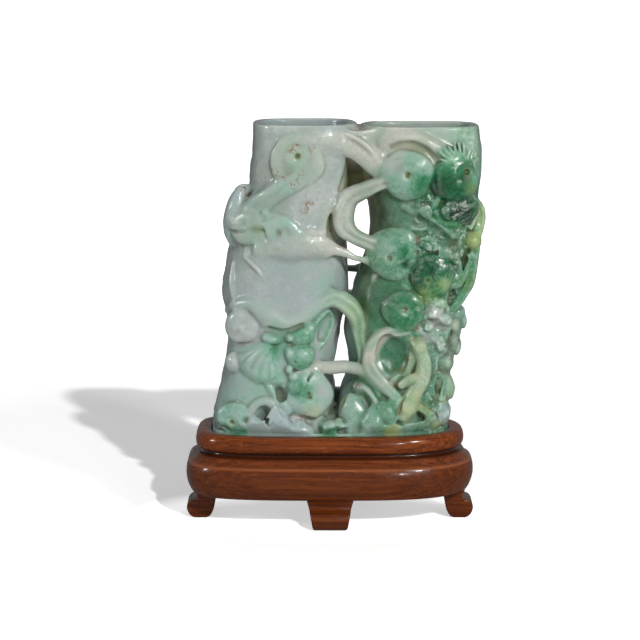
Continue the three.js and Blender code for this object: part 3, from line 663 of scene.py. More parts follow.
        (hue(0.3, 0.3), 0.2, 37, 24.4, 2.4, 2.9, 3.8, 0),
        (hue(0.26, 0.4), 0.2, 36.3, 17, 3.3, 4.7, 3.6, 6),
        (hue(0.34, 0.7), 0.25, 35, 13.6, 2, 1.9, 3.6, 0),
        (cream, 0.5, 27.8, 30.7, 2.7, 2.7, 4.2, 20),
        (cream, 0.3, 25.7, 32.2, 0.8, 1.1, 3, 30),
        (cream, 0.4, 24.3, 11.8, 3.2, 3.8, 3.9, 20),
    ],
    "backKnobs": [
        (blueGrey, 0.6, -28, 5, 7.4, 8.2, 3.4, 0),
        (mint, 0.6, -13, 3.6, 8.4, 6.6, 3.4, 0),
        (blueGrey, 0.6, 2, 6, 7, 8.4, 3.4, 0),
        (greyGreen, 0.6, 15, 4, 8.6, 7.4, 3.4, 0),
        (greyGreen, 0.6, 30, 5, 7.6, 8.8, 3.4, 0),
    ],
    # ribs that spread from a point: x, z, first and last reach, first and last direction in degrees,
    # how many, radius, how far out they lie, hue
    "spreads": [
        (41.6, 86.2, (10.4, 8.4), (156, 92), 7, 0.3, 1.9, hue(0.72, 0.1, 0, 0, 0)),
        (41.6, 86.2, (6.4, 5.4), (76, 34), 3, 0.28, 1.9, hue(0.5, 0.3)),
        (-2.6, 22.4, (8, 8), (168, 180), 2, 0.35, 0.6, greyWhite),
        (36, 19.8, (6.4, 6.4), (258, 292), 4, 0.45, 2.7, greyGreen),
        (-17.4, 12.4, (8, 8), (236, 292), 4, 0.4, 2.6, blueGrey),
    ],
    # leaf that fans out over the left trunk's foot
    "fan": {
        "x": -18.4, "z": 33.6, "reach": 15, "turn": 243, "spread": 84, "ribs": 6, "rise": 2, "rib": 0.32,
        "scallop": 0.35, "hue": hue(0.36, 0.04),
    },
    # grooves: [x, z, radius, y]
    "grooves": [
        [(-10.1, 88.6, 0.5), (-9.2, 85, 0.6), (-11.8, 80, 0.4)],
        [(-31.6, 66.8, 0.5, -9.6), (-29.4, 66.8, 0.6, -11.9), (-27, 67, 0.7, -13.2),
         (-24, 67.3, 0.9, -14.4), (-21.6, 67.3, 0.8, -14.7), (-19.8, 67.2, 0.4, -14.6)],
        [(-6.9, 16.2, 0.5), (-7.2, 19.4, 0.7), (-5.4, 22.4, 0.5)],
        [(-4.8, 21.4, 0.4), (-2.2, 17, 0.5), (-3.2, 11.6, 0.4)],
        [(-33.6, 6.8, 0.4), (-31.6, 3.4, 0.55), (-29, 5.8, 0.4)],
        [(-28.8, 11.8, 0.35), (-26.6, 9, 0.45), (-26.4, 5, 0.35)],
        [(-12.6, 31, 0.5), (-9.4, 31, 0.7), (-5.6, 31.4, 0.5)],
        [(-6, 25, 0.4), (-8.4, 27.8, 0.5), (-11, 26.4, 0.4)],
        [(-14.6, 36, 0.6), (-14.8, 30, 0.9), (-15, 23.6, 0.8), (-17.6, 20.6, 0.6)],
        [(33.2, 76.6, 0.7), (32.6, 82, 0.8), (32, 87.4, 0.7)],
        [(27.2, 74.6, 0.6), (31.4, 77, 0.8), (36.6, 75.6, 0.6)],
        [(24.8, 50.4, 0.6), (27.6, 46.8, 0.9), (30.4, 45.2, 0.6)],
        [(26.2, 60.6, 0.4), (27.4, 57.4, 0.5), (25.6, 54, 0.4)],
        [(30.6, 35, 0.5), (31.6, 27, 0.9), (31.2, 19, 0.9), (29.6, 13, 0.7)],
        [(33.6, 22, 0.5), (33.4, 14, 0.7), (32.4, 10, 0.5)],
        [(18.6, 15.4, 0.5), (22.6, 15.4, 0.7), (20.8, 9.6, 0.6)],
        [(42.2, 78.4, 0.5), (44.6, 84, 0.6), (44.4, 90, 0.4)],
        [(41.6, 66.6, 0.8), (42.4, 60, 0.9), (42.6, 54, 0.7), (39.6, 44.6, 0.6)],
        [(-20.6, 14.4, 0.5), (-24.6, 16.6, 0.6), (-29, 15.4, 0.4)],
    ],
    # hollows: x, z, half width, half height, depth, tilt and olive, which is painted shade
    "hollows": [
        (-1.8, 36.2, 2, 4.6, 1.7, -24, 0.35),
        (-15.8, 15.4, 1.5, 2.6, 2.2, 14, 0.8),
        (-20.6, 8.8, 2.2, 2.6, 2.4, 0, 0.45),
        (19.4, 28.4, 4.6, 6.6, 2.4, 18, 0.4),
        (42.6, 83.6, 1.1, 2.4, 3.2, -24, 0.95),
        (38, 45.6, 1, 2.6, 2.6, -14, 0.9),
        (28.6, 8.4, 1, 1.9, 2, 30, 0.9),
        (14.4, 84.2, 1.6, 4, 1.2, 0, 0.6),
        (11.6, 13, 1, 3.4, 1.2, 24, 0.4),
        (33.6, 36, 1.4, 2, 1.4, 0, 0.6),
    ],
    # soft valleys with painted shade along them: strength, hue and [x, z, radius, y]
    "shadedValleys": [
        (0.8, hue(0.3, 0.6, 0.6), [(18.6, 92.8, 0.7), (23.8, 94, 1.1), (28.8, 92.6, 1.2), (32.6, 89, 0.8)]),
        (0.7, hue(0.6, 0, 0.9), [(27.6, 71, 0.9), (31.4, 68.4, 1.3), (36, 64.4, 1.4), (40, 58.6, 1)]),
        (0.5, hue(0.5, 0.1, 0.8), [(30.4, 34.6, 0.7), (32.4, 28, 1), (32.2, 20, 1), (30.4, 13, 0.8)]),
        (0.6, hue(0.5, 0.2, 0.4), [(-19, 37, 0.6), (-14, 35.8, 0.6), (-9, 37.6, 0.6)]),
        (0.9, hue(0.3, 0.8, 0.7), [(5.6, 19, 1, -12.4), (3.2, 13, 1.1, -14), (0.8, 8.6, 0.9, -15.4)]),
        (0.9, hue(0.2, 0.75, 0.45), [(3.4, 82, 0.8, -10), (1.2, 76, 1.1, -11), (0.2, 70, 1.3, -12),
         (1.8, 65, 1.2, -12.4)]),
    ],
    # rust flecks: x, z, reach
    "rust": [
        (-11.8, 93.1, 1.5), (-10.2, 93.8, 0.9), (-5.6, 92.4, 1.2), (-4.6, 91, 0.8), (-17, 86, 1.2),
        (-14.8, 83.8, 1.2), (-11.4, 82, 1.4), (-9, 84.8, 0.9), (-9.2, 87, 0.7), (20.6, 90.2, 0.8),
        (17.8, 82, 0.9), (22.4, 78, 1.1), (-27.4, 80.2, 1.5), (-26.4, 77.4, 1.2), (9.6, 97.8, 1.5),
        (-7.4, 74.8, 1.8), (-4.4, 76, 1.2), (27.4, 64.2, 1.1), (19.8, 19, 1.1), (22.6, 23.4, 1),
        (24, 26.6, 1), (-8, 8.2, 1.6), (8.4, 17.4, 1.2), (26.8, 36.4, 1), (0.6, 66, 1.6), (3.4, 62, 1.4),
        (33.8, 21.6, 1.2),
    ],
    # soft clouds of another hue in the stone, some of them painted shade: x, z, reach, strength, hue
    "clouds": [
        (-10, 86, 5, 0.5, hue(0.28, 0.12, 0.08)),
        (-20, 74, 6, 0.5, hue(0.24, 0.05, 0.1)),
        # painted shade in the slit of the leaf
        (-22.8, 67.3, 2.4, 0.9, hue(0.3, 0.6, 0.9)),
        (-15.6, 76, 5.6, 0.6, hue(0.22, 0.08, 0.42)),
        (-24, 63, 7, 0.4, hue(0.3, 0.05, 0.15)),
        (-22, 93, 7, 0.5, hue(0.2, 0.02)),
        (-20, 84, 6, 0.5, hue(0.16, 0.1, 0.25, 0.1)),
        (-4, 80, 9, 0.5, hue(0.08, 0.05, 0.06, 0.2)),
        (2, 84, 4, 0.5, hue(0.22)),
        (0.6, 72, 4, 0.6, hue(0.1, 0.3, 0.25)),
        (-12, 54, 13, 0.7, hue(0.2, 0, 0.15, 0.45)),
        (-27, 52, 8, 0.5, hue(0.16, 0.06, 0.1, 0.2)),
        (-1, 50, 7, 0.6, hue(0.34, 0.02, 0, 0.15)),
        # painted shade under the wavy ledge
        (-16.6, 37, 4.4, 0.7, hue(0.4, 0.12, 0.3)),
        (2, 34, 4, 0.6, hue(0.2, 0.1)),
        (-16.4, 31, 6, 0.65, hue(0.74)),
        (-3.6, 38, 5.4, 0.5, hue(0.6)),
        (-9, 25, 5, 0.4, hue(0.7)),
        (-9, 17, 5, 0.75, hue(0.78)),
        (-5, 9.4, 5, 0.55, cream),
        (-2, 17, 4.4, 0.7, pale),
        (-25, 16, 10, 0.8, hue(0.3, 0.02)),
        (-14, 6, 9, 0.5, blueGrey),
        (6, 42, 5, 0.7, hue(0.34, 0.5)),
        (7.4, 28, 4, 0.5, greyGreen),
        (17, 92, 8, 0.6, greyWhite),
        (20, 88, 5, 0.5, pale),
        (29.4, 82, 5, 0.6, hue(0.85)),
        (28, 78, 4, 0.5, hue(0.7, 0, 0.5)),
        (36, 91, 5, 0.5, hue(0.45, 0.25)),
        (43, 94, 7, 0.9, hue(0.32, 0.1, 0, 0, 1)),
        (22, 98, 9, 0.8, hue(0, 0.08)),
        (34, 80, 3.4, 0.6, blackGreen),
        (42.2, 84.4, 2.4, 0.8, hue(0.95, 0.1, 0.6)),
        (44.4, 80.6, 3, 0.7, hue(0.75, 0.6, 0.2)),
        (46, 84, 4, 0.6, mint),
        (41, 74, 3.6, 0.8, hue(1, 0, 0.3, 0, 0.85)),
        (34, 73, 4, 0.6, hue(0.75, 0, 0, 0, 0.3)),
        (24, 60.4, 4, 0.8, hue(0.76)),
        (23.8, 57, 1.7, 1, blackGreen),
        (16, 62, 5, 0.5, mint),
        (35.6, 50.6, 3.6, 0.8, hue(0.5, 0.9)),
        (30, 47, 5, 0.5, lime),
        (31.6, 55.6, 4.4, 0.6, emerald),
        (39, 62, 4.6, 0.5, hue(0.4, 0.5, 0.5)),
        (45, 63, 3.6, 0.7, hue(0.62, 1)),
        (43.4, 50, 5, 0.5, hue(0.75, 0.5)),
        # painted shade on the right trunk's flank by the gap and beside its whorls
        (15, 72, 8, 0.75, hue(0.34, 0.2, 0.95)),
        (24, 72, 7, 0.6, hue(0.42, 0.05, 0.8)),
        (17, 46, 8, 0.7, hue(0.5, 0.05, 0.85)),
        (21.4, 27, 4.6, 0.7, hue(0.62, 0, 0.5)),
        (12.8, 27.6, 3.4, 0.75, hue(0, 0.16, 0, 0, 0)),
        (17, 14, 6, 0.5, hue(0.6, 0.1, 0.3)),
        (22, 16, 4, 0.6, leafGreen),
        (28, 8, 5, 0.5, hue(0.5, 0.15, 0.55)),
        (20.6, 4, 3, 0.8, hue(0.4, 1)),
        (34.6, 38, 6, 0.85, hue(0.08, 0.04, 0, 0.15, 1)),
        (33, 27, 6, 0.5, hue(0.34, 0, 0, 0.5, 0.8)),
        (22.6, 22.4, 3, 0.5, hue(0.6, 0.3, 0.2, 0, 0.4)),
        (25.4, 19.4, 3.2, 0.45, hue(0.62, 0.4, 0.2, 0, 0.5)),
        (27, 13.4, 2.4, 0.3, hue(0.5, 0.6, 0.3, 0, 0.4)),
        (37, 8, 5, 0.4, blueGrey),
        (1.5, 9, 4, 0.8, hue(0.2, 0.3, 0.95)),
    ],
}

front, back = -1, 1


def bothSides(kind):
    sides = ((front, "front"), (back, "back"))
    return [(side, form) for side, name in sides for form in carving[name + kind]]


# Stone that fills part of the gap between the trunks
def between(stations):
    top = stations[-1][0]
    low = (min(s[1] - s[2] for s in stations) - 3, -20, -1)
    view, x, y, z = windowAround(low, (max(s[1] + s[2] for s in stations) + 3, 20, top + 3))
    height = axes[2][view[2]]
    rows = [np.interp(height, [s[0] for s in stations], [s[i] for s in stations]) for i in range(1, 5)]
    centre, half, near, far = (asColumn(row) for row in rows)
    distance = ovalDistance(x - centre, y - (near + far) / 2, half, (far - near) / 2, 2.4)
    distance = smoothCut(distance, top - z, 0.9)
    return view, np.maximum(distance, stations[0][0] - z)


view, distance = between(carving["topWeb"])
stone[view] = smoothUnion(stone[view], distance, 2)
paint(view, distance + 6 * easeStep(gridY[:, view[1]] / 4), greyWhite)  # its pale hue ends before the back
view, distance = between(carving["rockSaddle"])
add(view, distance, 1, greyGreen)


def addKnobs(knobs):
    for side, (tint, blend, x, z, halfX, halfZ, rise, tilt) in knobs:
        view, distance = eggDistance(x, z, halfX, halfZ, side, rise, tilt)
        add(view, distance, blend, tint)


addKnobs(bothSides("Knobs"))

# crumpled and marbled stone over the front of the right trunk
rough = {"creases": 3.1, "wrinkles": 1.5, "crags": 3.4, "cragGrain": 1.9, "toolMarks": 4.2, "rockTop": 14}
view, x, y, z = windowAround((16, -21, 0), (50, -2, 84))
crumple = np.abs(swells(view, rough["creases"], 31)) * 1.5 - 0.5
crumple = crumple + np.abs(swells(view, rough["wrinkles"], 32)) * 0.7 - 0.25
crumpled = easeStep((x - 20 - 0.1 * np.abs(z - 50)) / 8) * easeStep((82 - z) / 8) * easeStep((-2 - y) / 5)
stone[view] += crumple * crumpled
hues["marble"][view] = crumpled

addKnobs([(front, form) for form in carving["smoothKnobs"]])

view, distance = fanDistance(carving["fan"])
add(view, distance, 0.7, carving["fan"]["hue"])

for side, form in bothSides("Domes"):
    view, distance = domeDistance(form, side)
    add(view, distance, form["blend"], form["hue"])

for side, (tint, blend, flat, ridges, points) in bothSides("Branches"):
    view, distance = tube(points, side, flat, ridges)
    add(view, distance, blend, tint)

for apexX, apexZ, reaches, directions, count, radius, proud, tint in carving["spreads"]:
    for rib in range(count):
        part = rib / (count - 1)
        angle = math.radians(directions[0] + (directions[1] - directions[0]) * part)
        length = reaches[0] + (reaches[1] - reaches[0]) * part
        ray = []
        for out in (0.1, 0.4, 0.7, 1):
            x = apexX + math.cos(angle) * length * out
            z = apexZ + math.sin(angle) * length * out
            ray.append((x, z, radius * (0.6 + 0.7 * out), -skinDepth(x, z) - proud))
        view, distance = tube(ray, front)
        add(view, distance, 0.6, tint)


# Points with no y of their own, lifted off the front skin
def lifted(points, height):
    return [p if len(p) > 3 else (*p, -skinDepth(p[0], p[1]) - height) for p in points]


for points in carving["grooves"]:
    view, distance = tube(lifted(points, 2.1), front)
    carve(view, distance, 0.4)

for x, z, halfX, halfZ, depth, tilt, dark in carving["hollows"]:
    view, distance = eggDistance(x, z, halfX, halfZ, front, depth, tilt)
    carve(view, distance, 1.5)
    # painted shade: olive darkening inside the hollow
    tinge(view, {"olive": 1}, easeStep((1.2 - distance) / 1.8) * dark)

for strength, tint, points in carving["shadedValleys"]:
    view, distance = tube(lifted(points, 1), front)
    carve(view, distance, 1.4)
    # painted shade along the valley
    tinge(view, tint, easeStep((1.4 - distance) / 1.8) * strength)

for side, form in bothSides("Domes"):
    if "hole" in form:
        drill(*form["hole"], side, form["rise"])
drill(-16.4, 61.6, front, 3.2, 0.8, 1.6)  # small hole in the branch on the left trunk

# painted brown shade in the pocket between the trunks, behind the branches
pocketShade = easeStep((96 - gridZ) / 5) * easeStep((gridZ - 56) / 14)
pocketShade = pocketShade * easeStep((gridX + 1) / 3) * easeStep((17 - gridX) / 4)
pocketShade = pocketShade * easeStep((gridY + 10) / 3) * easeStep((6 - gridY) / 2)
tinge(whole, {"olive": 0.34, "yellow": 0.8, "lavender": 0, "green": 0.12}, pocketShade)

for x, z, reach in carving["rust"]:
    view, gx, gy, gz = windowAround((x - 2 * reach, -21, z - 2 * reach), (x + 2 * reach, 0, z + 2 * reach))
    away = np.hypot(gx - x, gz - z) / reach + 0 * gy
    hues["russet"][view] = np.maximum(hues["russet"][view], easeStep(1.5 - away))

for x, z, reach, strength, tint in carving["clouds"]:
    view, gx, gy, gz = windowAround((x - reach, -21, z - reach), (x + reach, 0, z + reach))
    away = np.hypot(gx - x, gz - z) / reach
    tinge(view, tint, easeStep(1.1 - away) * strength * easeStep(-gy / 4))
print("carving laid on")

# Rough rocks at the foot, the wells, the seat and the space of the stand's lip
millimetres = 1.473  # in a hundredth of the carving's height
seat = {
    "height": 3.05,
    "halfLength": 55.6 / millimetres,
    "halfDepth": 24.4 / millimetres,
    "left": 3.4,
    "right": 2.7,
}
limits = {"top": 99.9, "right": 49.3, "halfDepth": 18.6}  # the carving's own box
view, _, _, z = windowAround((-40, -25, -2), (60, 25, 16))
crags = np.abs(swells(view, rough["crags"], 5)) * 1.1 + swells(view, rough["cragGrain"], 6) * 0.4 - 0.42
stone[view] += crags * easeStep((rough["rockTop"] - z) / 9)
stone += swells(whole, rough["toolMarks"], 21) * trunks["tooling"] * easeStep((98 - gridZ) / 5)
toLeft = (1 - np.clip(gridX / seat["halfLength"], -1, 1)) / 2
squareness = seat["right"] + (seat["left"] - seat["right"]) * toLeft
outline = ovalDistance(gridX, gridY, seat["halfLength"], seat["halfDepth"], squareness)
plate = np.maximum(outline, gridZ - seat["height"])
drawnIn = outline - np.maximum(gridZ - seat["height"], 0) * 0.9
stone = np.where(gridZ < rough["rockTop"], smoothCut(stone, -drawnIn, 0.8), stone)
view = windowAround((-40, -25, -2), (60, 25, seat["height"]))[0]
stone[view] = np.maximum(np.minimum(stone[view], plate[view]), outline)
stone = smoothCut(stone, wells, trunks["mouthRounding"])
for past in (-gridZ, gridZ - limits["top"], gridX - limits["right"], np.abs(gridY) - limits["halfDepth"]):
    stone = np.maximum(stone, past)
print("wells and seat cut")


# Mesh of the stone

meshing = {"faces": 190000, "creviceSpan": 3}


# Value of a grid at places in shares
def sample(field, places):
    spot = (places - np.array(block["low"])) / cell
    index = np.clip(np.floor(spot).astype(int), 0, np.array(gridShape) - 2)
    (fx, fy, fz), (ix, iy, iz) = (spot - index).T, index.T
    total = 0
    for dx, dy, dz in np.ndindex(2, 2, 2):
        weight = (fx if dx else 1 - fx) * (fy if dy else 1 - fy) * (fz if dz else 1 - fz)
        total = total + weight * field[ix + dx, iy + dy, iz + dz]
    return total


def slope(field, places, reach):
    steps = np.eye(3) * reach
    parts = [sample(field, places + s) - sample(field, places - s) for s in steps]
    return np.stack(parts, 1) / (2 * reach)


def linked(name, mesh):
    piece = bpy.data.objects.new(name, mesh)
    bpy.context.scene.collection.objects.link(piece)
    return piece


def evaluated(piece):
    graph = bpy.context.evaluated_depsgraph_get()
    graph.update()
    return bpy.data.meshes.new_from_object(piece.evaluated_get(graph))


volume = openvdb.FloatGrid(float(block["outside"]))
volume.copyFromArray(np.ascontiguousarray(stone))
points, quads = volume.convertToQuads(isovalue=0.0)
points = points.astype(float) * cell + np.array(block["low"])
roughMesh = bpy.data.meshes.new("jadeRough")
roughMesh.from_pydata(points.tolist(), [], quads.tolist())
roughPiece = linked("jadeRough", roughMesh)
thin = roughPiece.modifiers.new("fewerFaces", "DECIMATE")
thin.ratio = min(1, meshing["faces"] / (2 * len(quads)))
jadeMesh = evaluated(roughPiece)
bpy.data.objects.remove(roughPiece)
jadeMesh.name = "jadeCarving"

places = np.zeros(len(jadeMesh.vertices) * 3)
jadeMesh.vertices.foreach_get("co", places)
places = places.reshape(-1, 3)
for _ in range(2):
    incline = slope(stone, places, 0.4)
    steep = np.maximum((incline**2).sum(1, keepdims=True), 0.2)
    move = sample(stone, places)[:, None] * incline / steep
    places = places - np.clip(move, -0.2, 0.2)
incline = slope(stone, places, 0.45)
normals = incline / np.maximum(np.linalg.norm(incline, axis=1, keepdims=True), 1e-6)

span = meshing["creviceSpan"] * cell
around = sum(sample(stone, places + s * span) + sample(stone, places - s * span) for s in np.eye(3)) / 6
values = {"crevice": np.clip(-around / 0.5, 0, 1), "ridge": np.clip(around / 0.8, 0, 1)}
values.update((name, sample(field, places)) for name, field in hues.items())
for name, column in values.items():
    attribute = jadeMesh.attributes.new(name, "FLOAT", "POINT")
    attribute.data.foreach_set("value", column.astype(np.float32))

world = places * share + carvingOrigin
jadeMesh.vertices.foreach_set("co", world.ravel())
# the faces' own side, judged by a first few thousand of them
turns = [face.normal.dot(Vector(normals[face.vertices[0]])) for face in jadeMesh.polygons[:2000]]
if np.sign(turns).sum() < 0:
    jadeMesh.flip_normals()
jadeMesh.polygons.foreach_set("use_smooth", np.ones(len(jadeMesh.polygons), bool))
jadeMesh.normals_split_custom_set_from_vertices(normals.tolist())
jadeMesh.update()
jadePiece = linked("jadeCarving", jadeMesh)
print("jade mesh", len(jadeMesh.polygons), "faces")


# Node helpers

def feed(tree, socket, value):
    if isinstance(value, bpy.types.NodeSocket):
        tree.links.new(value, socket)
    else:
        socket.default_value = value


def dress(tree, made, values):
    for name, value in values.items():
        feed(tree, made.inputs[name], value)


def node(tree, kind, values=None, **settings):
    made = tree.nodes.new(kind)
    for name, value in settings.items():
        setattr(made, name, value)
    dress(tree, made, values or {})
    return made


def newMaterial(name):
    material = bpy.data.materials.new(name)
    material.use_nodes = True
    return material, material.node_tree, material.node_tree.nodes["Principled BSDF"]


def maths(tree, operation, a, b=0.0, c=None, clamp=False):
    values = {0: a, 1: b} if c is None else {0: a, 1: b, 2: c}
    return node(tree, "ShaderNodeMath", values, operation=operation, use_clamp=clamp).outputs[0]


def blended(tree, factor, a, b):
    made = node(tree, "ShaderNodeMix", data_type="RGBA", clamp_factor=True)
    for index, value in ((0, factor), (6, a), (7, b)):
        feed(tree, made.inputs[index], value)
    return made.outputs[2]


def ramp(tree, factor, stops):
    made = node(tree, "ShaderNodeValToRGB", {0: factor})
    elements = made.color_ramp.elements
    while len(elements) < len(stops):
        elements.new(0.5)
    for element, (place, colour) in zip(elements, stops):
        element.position = place
        element.color = colour if hasattr(colour, "__len__") else (colour, colour, colour, 1)
    return made.outputs[0]


def attributeOf(tree, name):
    return node(tree, "ShaderNodeAttribute", attribute_name=name).outputs["Fac"]


def noise(tree, vector, scale, detail=3.0, roughness=0.5, distortion=0.0):
    made = node(tree, "ShaderNodeTexNoise", {"Vector": vector, "Scale": scale, "Detail": detail,
                                            "Roughness": roughness, "Distortion": distortion})
    return made.outputs[0]


# Noise drawn out along the grain of the wood
def grainNoise(tree, place, scale, detail, roughness=0.5, shift=(0.0, 0.0, 0.0)):
    moved = node(tree, "ShaderNodeMapping", {"Vector": place, "Scale": scale, "Location": shift}).outputs[0]
    return noise(tree, moved, 1.0, detail, roughness)


def newGroup(name, inputs, outputs):
    tree = bpy.data.node_groups.new(name, "ShaderNodeTree")
    for label, kind, value in inputs:
        socket = tree.interface.new_socket(label, in_out="INPUT", socket_type=kind)
        if value is not None:
            socket.default_value = value
    for label, kind in outputs:
        tree.interface.new_socket(label, in_out="OUTPUT", socket_type=kind)
    return tree, tree.nodes.new("NodeGroupInput"), tree.nodes.new("NodeGroupOutput")


# Hand polish: faint swells and hairlines, shared by the stone and the wood
polishGroup, polishIn, polishOut = newGroup(
    "handPolish",
    [("Vector", "NodeSocketVector", None), ("Smooth", "NodeSocketFloat", 0.1),
     ("Worn", "NodeSocketFloat", 0.3), ("Patch size", "NodeSocketFloat", 90.0)],
    [("Roughness", "NodeSocketFloat"), ("Height", "NodeSocketFloat")],
)
patches = noise(polishGroup, polishIn.outputs["Vector"], polishIn.outputs["Patch size"], 4.0, 0.6)
fine = noise(polishGroup, polishIn.outputs["Vector"], 900.0, 2.0)
wear = maths(polishGroup, "MULTIPLY", patches, patches)
finish = node(polishGroup, "ShaderNodeMapRange", {
    "Value": wear, "From Min": 0.12, "From Max": 0.45,
    "To Min": polishIn.outputs["Smooth"], "To Max": polishIn.outputs["Worn"],
})
feed(polishGroup, polishOut.inputs["Roughness"], finish.outputs[0])
feed(polishGroup, polishOut.inputs["Height"], maths(polishGroup, "MULTIPLY_ADD", fine, 0.15, patches))


# Jade

jadeLook = {
    "smooth": 0.09,
    "worn": 0.24,
    "cloudSize": 55,
    "veinSize": 190,
    "glow": 0.35,
    "glowDepth": 0.0035,
}


def jadeMaterial():
    material, tree, shader = newMaterial("mottledJade")
    place = node(tree, "ShaderNodeTexCoord").outputs["Object"]
    warp = noise(tree, place, 34.0, 3.0, 0.55)
    clouds = noise(tree, place, float(jadeLook["cloudSize"]), 6.0, 0.62, 0.6)
    veins = noise(tree, place, float(jadeLook["veinSize"]), 8.0, 0.72, 1.6)
    specks = noise(tree, place, 620.0, 5.0, 0.75)
    green = attributeOf(tree, "green")
    # clouds, veins and grains push the green up and down, most where the stone is green
    pushed = maths(tree, "MULTIPLY_ADD", clouds, 1.1, -0.55)
    pushed = maths(tree, "ADD", pushed, maths(tree, "MULTIPLY_ADD", veins, 1.2, -0.6))
    pushed = maths(tree, "ADD", pushed, maths(tree, "MULTIPLY_ADD", specks, 0.5, -0.25))
    reach = maths(tree, "MULTIPLY_ADD", green, 0.35, 0.22)
    level = maths(tree, "MULTIPLY_ADD", pushed, reach, green, clamp=True)
    colour = ramp(tree, level, [
        (0.0, linear(182, 180, 172)),
        (0.16, linear(147, 157, 150)),
        (0.34, linear(124, 159, 143)),
        (0.52, linear(72, 134, 104)),
        (0.68, linear(16, 102, 64)),
        (0.84, linear(0, 74, 42)),
        (1.0, linear(2, 34, 24)),
    ])

    def patchy(name, source, stops):
        return maths(tree, "MULTIPLY", attributeOf(tree, name), ramp(tree, source, stops))

    lavender = patchy("lavender", warp, [(0.35, 0.25), (0.62, 1.0)])
    colour = blended(tree, lavender, colour, linear(142, 154, 164))
    yellow = patchy("yellow", clouds, [(0.3, 0.5), (0.6, 1.0)])
    yellowStone = blended(tree, level, linear(184, 182, 132), linear(104, 136, 26))
    colour = blended(tree, yellow, colour, yellowStone)
    # olive is partly the stone's own olive and partly painted shade in the pocket, hollows, valleys and on
    # the right trunk's side by the gap
    olive = patchy("olive", warp, [(0.3, 0.65), (0.6, 1.0)])
    oliveAndShadeColour = blended(tree, attributeOf(tree, "yellow"), linear(44, 60, 42), linear(58, 44, 20))
    colour = blended(tree, maths(tree, "MULTIPLY", olive, 0.9), colour, oliveAndShadeColour)
    # pale wisps and dark grains in the green
    wisps = noise(tree, place, 170.0, 7.0, 0.7, 2.2)
    marbled = maths(tree, "MAXIMUM", maths(tree, "MULTIPLY", level, 0.08), attributeOf(tree, "marble"))
    wispMask = maths(tree, "MULTIPLY", ramp(tree, wisps, [(0.5, 0.0), (0.62, 0.8)]), marbled)
    colour = blended(tree, wispMask, colour, linear(182, 196, 184))
    grainMask = maths(tree, "MULTIPLY", ramp(tree, specks, [(0.56, 0.0), (0.7, 0.6)]), level)
    colour = blended(tree, grainMask, colour, linear(22, 46, 36))
    flecks = maths(tree, "MULTIPLY", ramp(tree, specks, [(0.3, 0.6), (0.42, 0.0)]), marbled)
    colour = blended(tree, flecks, colour, linear(190, 204, 192))
    # painted shade and brown stain in the crevices, painted sheen on the ridges and flecks of rust
    crevice = ramp(tree, attributeOf(tree, "crevice"), [(0.12, 0.0), (0.75, 0.85)])
    # painted shade, partly brown stain: darker in the crevices
    creviceShadeAndStain = maths(tree, "MULTIPLY", crevice, ramp(tree, warp, [(0.35, 0.45), (0.6, 1.0)]))
    creviceShadeAndStainColour = blended(tree, level, linear(104, 90, 62), linear(30, 38, 20))
    colour = blended(tree, creviceShadeAndStain, colour, creviceShadeAndStainColour)
    # painted sheen: paler colour on the ridges
    ridge = maths(tree, "MULTIPLY", attributeOf(tree, "ridge"), 0.25)
    colour = blended(tree, ridge, colour, linear(214, 220, 210))
    rustNoise = noise(tree, place, 420.0, 4.0, 0.7, 0.5)
    rust = patchy("russet", rustNoise, [(0.5, 0.0), (0.55, 0.5), (0.63, 0.95)])
    colour = blended(tree, rust, colour, linear(118, 72, 34))
    look = {"Vector": place, "Smooth": jadeLook["smooth"], "Worn": jadeLook["worn"]}
    polish = node(tree, "ShaderNodeGroup", look, node_tree=polishGroup).outputs
    relief = maths(tree, "MULTIPLY_ADD", veins, 0.6, polish["Height"])
    bump = node(tree, "ShaderNodeBump", {"Strength": 0.4, "Distance": 0.0006, "Height": relief})
    dress(tree, shader, {
        "Base Color": colour,
        "Roughness": polish["Roughness"],
        "Normal": bump.outputs[0],
        "IOR": 1.6,
        "Subsurface Weight": jadeLook["glow"],
        "Subsurface Radius": (0.7, 1.0, 0.8),
        "Subsurface Scale": jadeLook["glowDepth"],
        "Coat Weight": 0.35,
        "Coat Roughness": 0.03,
    })
    return material


jadePiece.data.materials.append(jadeMaterial())
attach(jadePiece, "root")
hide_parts("jade_vase")
print("jade finished")


# Stand: a moulding swept round the plan, on four scroll feet

